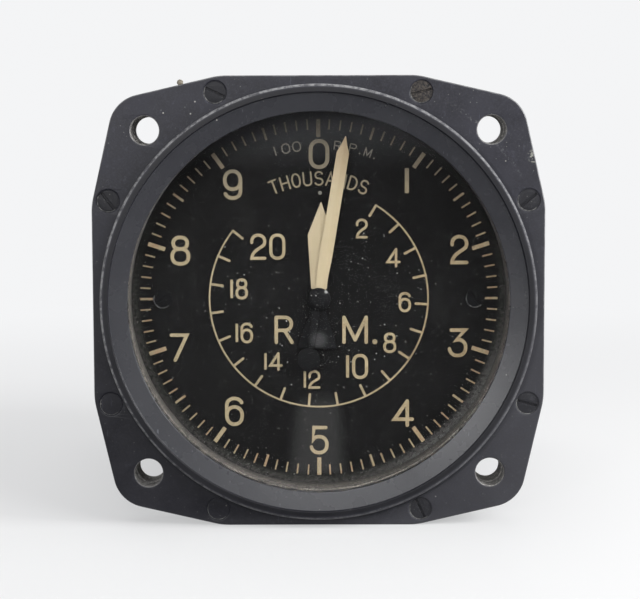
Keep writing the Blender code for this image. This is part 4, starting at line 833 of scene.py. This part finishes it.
def swing(a, b, c, d):
    """Points on a cubic between a and d, pulled towards b and c."""
    out = []
    for t in spread(0, 1, 10):
        u = 1 - t
        shares = (u ** 3, 3 * u * u * t, 3 * u * t * t, t ** 3)
        out.append(tuple(sum(share * point[i] for share, point in zip(shares, (a, b, c, d))) for i in (0, 1)))
    return out


# Signs made of straight lines, in shares of the box's width and height
STRAIGHT = {
    "1": [[(0.5, 0), (0.5, 1)]],
    "4": [[(0.72, 0), (0.72, 1)], [(0.72, 1), (0, 0.25), (1, 0.25)]],
    "7": [[(0, 1), (1, 1), (0.24, 0)]],
    "A": [[(0, 0), (0.5, 1), (1, 0)], [(0.19, 0.35), (0.81, 0.35)]],
    "H": [[(0, 0), (0, 1)], [(1, 0), (1, 1)], [(0, 0.5), (1, 0.5)]],
    "M": [[(0, 0), (0, 1)], [(1, 0), (1, 1)], [(0, 1), (0.5, 0.10)], [(0.5, 0.10), (1, 1)]],
    "N": [[(0, 0), (0, 1), (1, 0), (1, 1)]],
    "T": [[(0, 1), (1, 1)], [(0.5, 1), (0.5, 0)]],
}


def glyph(sign, w, h):
    """Centre lines of a sign in a box w by h, as a list of (points, closed)."""
    if sign in STRAIGHT:
        return [([(x * w, y * h) for x, y in line], False) for line in STRAIGHT[sign]]
    r = w / 2
    if sign == "O":
        return [(bow(r, h / 2, r, h / 2, 0, 350, 2.2), True)]
    if sign == "0":
        cap = min(h / 2, 1.12 * r)
        return [(bow(r, h - cap, r, cap, 0, 180, 2.25) + bow(r, cap, r, cap, 180, 360, 2.25), True)]
    if sign == "2":
        top = bow(r, h - 0.98 * r, r, 0.98 * r, 188, -30, 2.1)
        tail = swing(top[-1], (0.80 * w, 0.47 * h), (0.02 * w, 0.34 * h), (0, 0))
        return [(top + tail[1:] + [(w, 0)], False)]
    if sign == "3":
        bowl = bow(0.46 * w, 0.315 * h, 0.54 * w, 0.315 * h, 95, -172, 2.2)
        return [([(0.04 * w, h), (0.97 * w, h), (0.36 * w, 0.60 * h)] + bowl[1:], False)]
    if sign == "5":
        bowl = bow(0.47 * w, 0.32 * h, 0.53 * w, 0.32 * h, 128, -165, 2.2)
        return [([(0.93 * w, h), (0.13 * w, h), (0.06 * w, 0.50 * h)] + bowl, False)]
    if sign in "69":
        ry = 0.335 * h
        loop = bow(r, ry, r, ry, 0, 350, 2.15)
        hook = bow(r, h - 0.9 * r, r, 0.9 * r, 22, 180, 2.1) + [(0, ry)]
        if sign == "9":
            loop = [(w - x, h - y) for x, y in loop]
            hook = [(w - x, h - y) for x, y in hook]
        return [(loop, True), (hook, False)]
    if sign == "8":
        top, low = 0.218 * h, 0.282 * h
        return [(bow(r, h - top, 0.43 * w, top, 0, 350, 2.3), True), (bow(r, low, r, low, 0, 350, 2.3), True)]
    if sign == "U":
        return [([(0, h)] + bow(r, r, r, r, 180, 360, 2.2) + [(w, h)], False)]
    if sign == "S":
        upper = bow(r, 0.75 * h, 0.92 * r, 0.25 * h, 25, 250, 2.1)
        return [(upper + bow(r, 0.25 * h, r, 0.25 * h, 70, -155, 2.1), False)]
    stem = ([(0, 0), (0, h)], False)
    if sign == "D":
        side = bow(0.25 * w, h / 2, 0.75 * w, h / 2, 90, -90, 2.2)
        return [stem, ([(0, h)] + side + [(0, 0)], False)]
    bowl = 0.26 * h
    side = bow(0.96 * w - bowl, h - bowl, bowl, bowl, 90, -90, 2.1)
    strokes = [stem, ([(0, h)] + side + [(0, h - 2 * bowl)], False)]
    if sign == "R":
        strokes.append(([(0.52 * w, h - 2 * bowl), (w, 0)], False))
    return strokes


def outline_of(points, width, closed, round_ends):
    """The outlines of a stroke along a centre line: one for an open line, two for a loop."""
    half = width / 2
    left, right = [], []
    for i, point in enumerate(points):
        here = Vector(point)
        ways = []
        if closed or i:
            ways.append(here - Vector(points[i - 1]))
        if closed or i < len(points) - 1:
            ways.append(Vector(points[(i + 1) % len(points)]) - here)
        ways = [way.normalized() for way in ways if way.length > 1e-9]
        if not ways:
            continue
        way = sum(ways, Vector((0, 0)))
        way = way.normalized() if way.length > 1e-6 else ways[0]
        side = Vector((-way.y, way.x))
        lean = max(0.42, side.dot(Vector((-ways[0].y, ways[0].x))))
        left.append(tuple(here + side * half / lean))
        right.append(tuple(here - side * half / lean))
    if closed:
        return [left, right]
    if not round_ends:
        return [left + right[::-1]]
    return [left + end_cap(points[-2], points[-1], half) + right[::-1] + end_cap(points[1], points[0], half)]


def end_cap(before, end, half, steps=6):
    """Points of a rounded end, going round from the left side to the right side."""
    angle = atan2(end[1] - before[1], end[0] - before[0])
    turns = [angle + pi / 2 - pi * k / steps for k in range(1, steps)]
    return [(end[0] + half * cos(turn), end[1] + half * sin(turn)) for turn in turns]


class Ink:
    """Collects flat raised shapes on the dial's face."""

    def __init__(self, height=INK):
        self.builder = bmesh.new()
        self.height = height
        self.level = 0

    def lay(self, outlines):
        """One raised shape. Each shape is a hair higher than the last, so that no two faces coincide."""
        self.level = (self.level + 1) % 7
        top = DIAL_FACE - self.height - 0.002 * self.level
        loops, foot = [[[self.builder.verts.new(place(x, depth, z)) for x, z in loop] for loop in outlines]
                       for depth in (top, DIAL_FACE + 0.01)]
        flat = [v for loop in loops for v in loop]
        for tri in tessellate_polygon([[Vector((x, z, 0)) for x, z in loop] for loop in outlines]):
            corners = [flat[i] for i in tri]
            if len(set(corners)) == 3:
                self.builder.faces.new(corners)
        for upper, lower in zip(loops, foot):
            for k in range(len(upper)):
                n = (k + 1) % len(upper)
                self.builder.faces.new([upper[k], upper[n], lower[n], lower[k]])

    def stroke(self, points, width, closed=False, round_ends=True):
        self.lay(outline_of(points, width, closed, round_ends))

    def dot(self, x, z, radius, steps):
        self.lay([circle_points(radius, steps, x, z)])

    def write(self, text, x, z, height, width, stroke, turn=0.0):
        """Writes a line of signs centred on x, z, turned clockwise by degrees."""
        w, h = width - stroke, height - stroke
        gap = 0.35 * stroke + 0.12 * width
        widths = [0.0 if sign == "1" else w for sign in text]
        start = -(sum(widths) + (len(text) - 1) * (gap + stroke)) / 2
        for sign, wide in zip(text, widths):
            for line, closed in glyph(sign, wide, h):
                line = clockwise([(start + px, py - h / 2) for px, py in line], turn, x, z)
                self.stroke(line, stroke, closed, sign != "1")
            start += wide + gap + stroke

    def word(self, text, radius, first, last, height, width, stroke):
        """Writes a word round the dial, its letters spaced evenly between two angles."""
        for sign, angle in zip(text, spread(first, last, len(text) - 1)):
            if sign == ".":
                self.dot(*on_circle(radius - height / 2 + stroke, angle), 0.75 * stroke, 8)
            else:
                self.write(sign, *on_circle(radius, angle), height, width, stroke, angle)

    def add(self, name, look):
        """Makes the piece from all that was laid."""
        bmesh.ops.recalc_face_normals(self.builder, faces=self.builder.faces)
        add(name, emptied(self.builder, name), [look])


# Pieces

def build_bezel():
    """Flange with its holes and screw seats, and the turned rim that stands on it."""
    seats = [circle_points(SCREW_SEAT, 40, x, z) for x, z in SCREW_PLACES]
    outlines = [flange_points(), circle_points(PLATE_BORE, TURN_STEPS)] + flange_holes(HOLE_RADIUS) + seats
    plate = sheet_mesh("bezel_plate", outlines, 0.0, BEZEL_BACK, PLATE_EDGE)
    rim = turned("bezel_rim", [
        (RIM_ROOT, 0.02, 0), (RIM_RADIUS, 0, 0.4), (RIM_RADIUS, RIM_TOP, ARRIS), (STEP_RADIUS, RIM_TOP, 0.12),
        (BAND_OUTER, BAND_TOP, 0.10), (LIP_RADIUS, LIP_TOP, 0.14), (LIP_RADIUS, LIP_BACK, 0.12),
        (BEZEL_BORE, LIP_BACK, 0), (BEZEL_BORE, BEZEL_BACK, 0), (RIM_FOOT, BEZEL_BACK, 0),
        (RIM_FOOT, 0.6, 0), (RIM_ROOT, 0.4, 0),
    ], 240)
    mesh = join("front_bezel", [plate, rim])
    for face in mesh.polygons:
        centre = face.center
        radius = hypot(centre.x, centre.z) / MM
        if radius < BAND_OUTER + 0.02 and centre.y / MM - FRONT < LIP_BACK + 0.05:
            face.material_index = 1
        elif in_hole(centre):
            face.material_index = 2
        elif radius > RIM_ROOT + 0.05 and -0.93 < face.normal.y < -0.25 and not by_screw(centre):
            # The flange's rounded front edges: worn paint with a painted highlight.
            face.material_index = 3
    dress("front_bezel", mesh, ["black_paint", "ring_paint", "hole_dust", "edge_wear"])


def by_screw(point):
    """Whether a point of the front flange lies on the rim of a screw's seat."""
    return any(hypot(point.x / MM - x, point.z / MM - z) < SCREW_SEAT + 0.4 for x, z in SCREW_PLACES)


def in_hole(point):
    """Whether a point of a flange lies on the wall of one of its four holes."""
    return hypot(abs(point.x) / MM - HOLE_PLACE, abs(point.z) / MM - HOLE_PLACE) < HOLE_RADIUS + 0.05


def build_case():
    """Rear flange and the drum behind it."""
    outlines = [flange_points(), circle_points(SEAT_RADIUS, 96)] + flange_holes(BACK_HOLE_RADIUS)
    plate = sheet_mesh("case_plate", outlines, CASE_FRONT, CASE_FLANGE_BACK, PLATE_EDGE)
    mesh = join("case", [plate, turned("case_drum", DRUM)])
    for face in mesh.polygons:
        if in_hole(face.center):
            face.material_index = 1
    dress("case", mesh, ["case_paint", "hole_dust"])


def half_disc(radius, cut, upper, steps=28):
    """Half of a disc, beyond a straight cut, as (x, z) points."""
    low = degrees(atan2(cut, (radius * radius - cut * cut) ** 0.5))
    points = [(radius * cos(radians(a)), radius * sin(radians(a))) for a in spread(low, 180 - low, steps)]
    return points if upper else [(-x, -z) for x, z in points]


def slotted_head(radius, slot, slot_depth, face, back, turn, x, z, edge=0.12):
    """A screw head as two halves on a floor, with its slot turned anticlockwise by degrees."""
    halves = [clockwise(half_disc(radius, slot / 2, upper), -turn, x, z) for upper in (True, False)]
    floor = disc("floor", radius - 0.02, face + slot_depth, back, move=(x, z))
    return [sheet_mesh("half", [half], face, back, edge, 2) for half in halves] + [floor]


def dust_and_glint_ring(inner, outer, fronts, back, x, z):
    """The pale ring around a screw: dust, and where it is kept on the lower left, a painted highlight."""
    return ring("ring", inner, outer, fronts, back, (0.02, 0), 40, (x, z))


def build_screws():
    """The eight flush screws, some slotted, some filled with paint, one corroded."""
    for (x, z), (_, turn, state) in zip(SCREW_PLACES, SCREW_STATES):
        node = screw_node(x, z)
        if state == "painted":
            wide = SCREW_SEAT + 0.05
            head = [turned("cap", [(0, 0.03, 0), (wide, 0.05, 0), (wide, SCREW_BACK, 0), (0, SCREW_BACK, 0)],
                           40, False, (x, z))]
            dust = dust_and_glint_ring(SCREW_SEAT - 0.14, SCREW_SEAT - 0.03, (0.035, 0.035), 0.2, x, z)
            look, slot = "black_paint", "black_paint"
        else:
            head = slotted_head(SCREW_HEAD, SCREW_SLOT, SCREW_SLOT_DEPTH, SCREW_FACE, SCREW_BACK, turn, x, z)
            dust = dust_and_glint_ring(SCREW_HEAD - 0.07, SCREW_SEAT + 0.03, (0.13, 0.10), 0.3, x, z)
            look, slot = "screw_rusty" if state == "rusty" else "screw_paint", "screw_steel"
        shank = disc("shank", SHANK_RADIUS, SCREW_BACK - 0.05, SHANK_END, 20, (x, z))
        mesh = join(node, head + [shank], [dust])
        keep_lower_left_ring(mesh, x, z)
        dress(node, mesh, [look, "dust_line"])


def keep_lower_left_ring(mesh, x, z):
    """Keeps a screw's pale ring only on its lower left: dust, and a painted highlight on the seat's rim."""
    for face in mesh.polygons:
        off_x, off_z = face.center.x / MM - x, face.center.z / MM - z
        if face.material_index == 1 and 0.6 * off_x + 0.8 * off_z > -0.2:
            face.material_index = 0


def screw_node(x, z):
    """The name of the frame's bezel screw that lies nearest to a place."""
    def off(name):
        low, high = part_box(name)
        middle = (low + high) / 2 / MM
        return hypot(middle.x - x, middle.z - z)
    return min((n for n in NODES if n.startswith("bezel_screw_")), key=off)


def build_glass():
    """The cover glass, its gasket, and the spacer ring between the gasket and the dial."""
    glass = disc("cover_glass", SEAT_RADIUS, GLASS_FRONT, GLASS_BACK, 120, edges=(0.2, 0.2))
    dress("cover_glass", glass, ["window_glass"])
    for node, bore, front, back, edge, look in (
            ("glass_gasket", GASKET_BORE, GASKET_FRONT, GASKET_BACK, 0.3, "gasket_rubber"),
            ("dial_spacer", SPACER_BORE, SPACER_FRONT, SPACER_BACK, 0.15, "spacer_paint")):
        dress(node, ring(node, bore, SEAT_RADIUS, (front, front), back, (edge, edge)), [look])


def build_dial():
    """The black disc, and the two screws that hold it."""
    mesh = sheet_mesh("dial_disc", [circle_points(DIAL_RADIUS, 160), circle_points(DIAL_BORE, 32)],
                      DIAL_FACE, DIAL_BACK, 0.08, 1)
    add("dial_disc", mesh, ["dial_paint"], stands_for=["dial"])
    for side, x, turn in (("left", -DIAL_SCREW_PLACE, 35.0), ("right", DIAL_SCREW_PLACE, -50.0)):
        parts = slotted_head(DIAL_SCREW_HEAD, 0.4, 0.3, 8.15, 8.72, turn, x, 0.0, 0.16)
        dust = dust_and_glint_ring(DIAL_SCREW_HEAD - 0.13, DIAL_SCREW_HEAD + 0.01, (8.13, 8.13), 8.4, x, 0.0)
        head = join(f"dial_screw_{side}", parts, [dust])
        keep_lower_left_ring(head, x, 0.0)
        dress(f"dial_screw_{side}", head, ["dial_screw_black", "dust_line"])


def build_scales():
    """The hundred divisions, the inner scale, the numerals and the words."""
    marks = Ink()
    for k in range(100):
        length, width = MAJOR if k % 10 == 0 else HALF if k % 5 == 0 else MINOR
        ends = [on_circle(radius, 3.6 * k) for radius in (SCALE_RADIUS - length, SCALE_RADIUS)]
        marks.stroke(ends, width, round_ends=False)
    line = [on_circle(ARC_RADIUS, angle) for angle in spread(ARC_FIRST, ARC_LAST, ARC_PIECES)]
    marks.stroke(line, ARC_WIDTH)
    low = ARC_RADIUS - ARC_MARK_LENGTH + ARC_MARK_WIDTH / 2
    for angle in spread(ARC_FIRST, ARC_LAST, ARC_STEPS):
        marks.stroke([on_circle(low, angle), on_circle(ARC_RADIUS - 0.05, angle)], ARC_MARK_WIDTH)
    marks.add("scale_marks", "scale_cream")
    numerals = Ink()
    for entry in OUTER_NUMERALS + INNER_NUMERALS + BIG_LETTERS:
        numerals.write(*entry)
    numerals.word(*THOUSANDS)
    numerals.dot(*FULL_STOP, 20)
    numerals.add("scale_numerals", "scale_cream")
    faint = Ink(THIN_INK)
    faint.word(*HUNDRED)
    faint.word(*PER_MINUTE)
    faint.height = INK
    faint.dot(*ZERO_SPOT, 16)
    faint.add("scale_small_words", "scale_grey")


def hand(outline, ridge, face, back, lift):
    """A flat hand with a low ridge: its edge lies lift behind its face."""
    builder = bmesh.new()
    rim, base, top = [[builder.verts.new(place(x, depth, z)) for x, z in points]
                      for points, depth in ((outline, face + lift), (outline, back), (ridge, face))]
    nearest = [min(range(len(ridge)), key=lambda i: hypot(ridge[i][0] - x, ridge[i][1] - z))
               for x, z in outline]
    steps = [(k, (k + 1) % len(outline)) for k in range(len(outline))]
    for k, n in steps:
        builder.faces.new([rim[k], rim[n], base[n], base[k]])
    builder.faces.new(base)
    for k, n in steps:
        a, b = nearest[k], nearest[n]
        builder.faces.new([rim[k], rim[n], top[b]] if a == b else [rim[k], rim[n], top[b], top[a]])
    return to_mesh(builder, "hand", 60.0)


def build_pointer(node, body, side, ridge, tail, tail_edge, boss, face, back, lift, angle, more=()):
    """A cream blade with a black tail and a black boss, as the skin of one node."""
    x, z = side[0]
    outline = [(-x, z)] + side + [(-x, z) for x, z in side[:0:-1]]
    blade = hand(clockwise(outline, angle), clockwise(ridge, angle), face, back, lift)
    strip = sheet_mesh("tail", [clockwise(tail, angle)[::-1]], face + 0.02, back - 0.02, tail_edge, 2)
    middle = disc("boss", boss, face - 0.02, back - 0.02)
    mesh = join(node, [blade], [*more, strip, middle])
    dress(node, mesh, ["pointer_cream", "pointer_black"], body)


def build_pointers():
    """The two pointers, the long one with its balance weight, and the hub that caps them."""
    weight = disc("weight", WEIGHT_RADIUS, LONG_FACE, LONG_BACK, 48, on_circle(WEIGHT_PLACE, LONG_ANGLE),
                  (0.12, 0.1))
    build_pointer("long_pointer", "long_hand", LONG_SIDE, LONG_RIDGE, LONG_TAIL, 0.08, 2.1,
                  LONG_FACE, LONG_BACK, 0.16, LONG_ANGLE, [weight])
    build_pointer("short_pointer", "short_hand", SHORT_SIDE, SHORT_RIDGE, SHORT_TAIL, 0.1, 2.0,
                  SHORT_FACE, SHORT_BACK, 0.22, SHORT_ANGLE)
    hub_back = LONG_FACE + 0.05
    dome = turned("hub", [(0, HUB_TOP - 0.04, 0), (1.3, HUB_TOP, 0.5), (HUB_RADIUS, HUB_TOP + 0.42, 0.3),
                          (HUB_RADIUS, hub_back, 0), (0, hub_back, 0)], 48, False)
    add("pointer_hub", dome, ["pointer_black"], "long_hand")


def build_crumb():
    """The small irregular crumb on the top left edge."""
    chance = Random(3)
    builder = bmesh.new()
    bmesh.ops.create_icosphere(builder, subdivisions=3, radius=0.55 * MM)
    for vertex in builder.verts:
        vertex.co *= 1 + 0.22 * (chance.random() - 0.5)
        vertex.co += place(-24.95, 0.6, 40.05)
    add("edge_crumb", to_mesh(builder, "edge_crumb", 80.0), ["chipped_metal"])


def build_connector():
    """The connector's square flange with its four screws, and its threaded barrel."""
    inset = CONNECTOR_HALF - CONNECTOR_CORNER
    outline = []
    for sx, sz, start in ((1, 1, 0), (-1, 1, 90), (-1, -1, 180), (1, -1, 270)):
        for a in spread(start, start + 90, 8):
            outline.append((sx * inset + CONNECTOR_CORNER * cos(radians(a)),
                            sz * inset + CONNECTOR_CORNER * sin(radians(a))))
    screws = corners_of_square(CONNECTOR_SCREW_PLACE)
    holes = [circle_points(BARREL_BORE, 64)] + [circle_points(1.75, 28, x, z) for x, z in screws]
    flange = sheet_mesh("connector_flange", [outline] + holes, CONNECTOR_FRONT, CONNECTOR_BACK, 0.2)
    front = CONNECTOR_FRONT + 0.1
    profile = [(BARREL_BORE, front, 0), (BARREL_RADIUS, front, 0), (BARREL_RADIUS, THREAD_START, 0)]
    for k in range(THREAD_TURNS):
        depth = THREAD_START + k
        profile += [(BARREL_RADIUS, depth + 0.15, 0), (THREAD_FLOOR, depth + 0.5, 0),
                    (BARREL_RADIUS, depth + 0.85, 0)]
    profile += [(BARREL_RADIUS, 110.3, 0.25), (BARREL_RADIUS - 0.4, 110.7, 0.2), (BARREL_BORE, 110.7, 0.2)]
    shell = join("connector_shell", [flange, turned("barrel", profile, 96)])
    dress("connector_shell", shell, ["connector_metal"])
    for number, (x, z) in enumerate(screws, 1):
        head = join(f"connector_screw_{number}",
                    slotted_head(1.6, 0.4, 0.35, 0.0, 0.9, 35.0 + 55 * number, x, z))
        head.transform(Matrix.Translation(place(0, CONNECTOR_BACK + 0.2, 0)) @ Matrix.Scale(-1, 4, (0, 1, 0))
                       @ Matrix.Translation(-place(0, 0, 0)))
        head.flip_normals()
        add(f"connector_screw_{number}", head, ["screw_steel"])


def dress_inner_nodes():
    """The works keep their own shape and get a worked material each."""
    slots = {part["node"]: part["material_slot"] for part in frame["record"]["subparts"]}
    for name, node in NODES.items():
        look = slots.get(name)
        if look in LOOKS and not node.hide_render:
            node.data.materials.clear()
            node.data.materials.append(LOOKS[look])


# Stage, light and camera

def floor_paint():
    """Pale paint that runs into the surround, and that lights the part less than it shows."""
    paint = Paint("floor_pale", (0.75, 0.75, 0.75), 0.9, specular=0.1)
    paint.tint(paint.cloud(120.0, 3.0, 0.5, 0.4, 0.7, 0.0, 0.25), (0.735, 0.735, 0.735))
    seen = paint.seen()
    paint.tint(paint.maths("SUBTRACT", 1.0, seen), (0.45, 0.45, 0.45))
    away = paint.length(paint.along("X"), paint.along("Y"))
    white = paint.node("ShaderNodeEmission", Color=PALE, Strength=1.0)
    paint.cover(paint.times(seen, paint.step(away, 50.0, 360.0, FLOOR_LIFT, 1.0)), white)
    return paint.finish()


def build_floor():
    builder = bmesh.new()
    level = place(0, 0, -FLANGE_HALF - 0.02).z
    rows = [[builder.verts.new((0.0, 0.0, level))] * FLOOR_SIDES]
    for radius in FLOOR_RINGS:
        rows.append([builder.verts.new((x, y, level)) for x, y in circle_points(radius * MM, FLOOR_SIDES)])
    bridge(builder, rows)
    mesh = emptied(builder, "floor")
    mesh.materials.append(floor_paint())
    in_scene("floor", mesh)


def build_surround():
    world = bpy.data.worlds.new("surround")
    world.use_nodes = True
    sky = Nodes(world.node_tree)
    strength = sky.node("ShaderNodeMapRange", Value=sky.seen(), To_Min=SURROUND_LIGHT, To_Max=1.0)
    background = sky.tree.nodes["Background"]
    sky.put(PALE, background.inputs["Color"])
    sky.put(strength.outputs[0], background.inputs["Strength"])
    bpy.context.scene.world = world


def build_lamps():
    for name, x, depth, z, width, height, power in LAMPS:
        lamp = bpy.data.lights.new(name, "AREA")
        lamp.shape = "RECTANGLE"
        lamp.size, lamp.size_y = width * MM, height * MM
        lamp.energy = power
        holder = in_scene(name, lamp)
        holder.location = place(x, depth, z)
        holder.rotation_euler = (place(0, 0, 0) - holder.location).to_track_quat("-Z", "Y").to_euler()
        holder.visible_camera = False


def build_dark_room():
    """The unlit room behind the camera: a dark wall and table that only reflections see."""
    builder = bmesh.new()
    low, high, near, far = -FLANGE_HALF + 0.5, 90, -4, -760
    left, right = (-200, -700), (30, 130)
    wall = [(left[1], far, low), (right[1], far, low), (right[1], far, high), (left[1], far, high)]
    table = [(left[1], far, low), (right[1], far, low), (right[0], near, low), (left[0], near, low)]
    strip = [(-11, -165, low + 0.5), (9, -165, low + 0.5), (8, -45, low + 0.5), (-9, -45, low + 0.5)]
    for number, corners in enumerate((wall, table, strip)):
        face = builder.faces.new([builder.verts.new(place(*corner)) for corner in corners])
        face.material_index = number // 2
    mesh = emptied(builder, "dark_room")
    mesh.materials.append(Paint("dark_room", (0.03, 0.03, 0.03), 0.9, specular=0.0).finish())
    pale = Paint("pale_strip", (0.03, 0.03, 0.03), 0.9, specular=0.0)
    soft = pale.times(pale.near(pale.along("X"), -0.6, 7.5, 3.0),
                      pale.step(pale.along("Y"), FRONT - 162, FRONT - 125))
    pale.set("Emission Color", (0.42, 0.42, 0.42, 1))
    pale.set("Emission Strength", soft)
    mesh.materials.append(pale.finish())
    screen = in_scene("dark_room", mesh)
    screen.visible_camera = screen.visible_shadow = screen.visible_diffuse = False


def build_camera():
    camera = bpy.data.cameras.new("camera")
    camera.sensor_width = SENSOR_WIDTH
    camera.lens = FOCAL_PIXELS * SENSOR_WIDTH / PHOTO_WIDTH
    camera.clip_start, camera.clip_end = 0.01, 50
    a, e, r = radians(CAMERA_AZIMUTH), radians(CAMERA_ELEVATION), radians(CAMERA_ROLL)
    ahead = Vector((-sin(a) * cos(e), cos(a) * cos(e), -sin(e)))
    right = Vector((cos(a), sin(a), 0))
    up = right.cross(ahead)
    right, up = right * cos(r) + up * sin(r), up * cos(r) - right * sin(r)
    spot = place(*CAMERA_AIM) - ahead * CAMERA_DISTANCE * MM
    holder = in_scene("camera", camera)
    holder.matrix_world = Matrix.Translation(spot) @ Matrix((right, up, -ahead)).transposed().to_4x4()
    bpy.context.scene.camera = holder
    bpy.context.scene.view_settings.view_transform = "Standard"


build_camera()
build_bezel()
build_case()
build_screws()
build_glass()
build_dial()
build_scales()
build_pointers()
build_crumb()
build_connector()
dress_inner_nodes()
build_floor()
build_surround()
build_lamps()
build_dark_room()
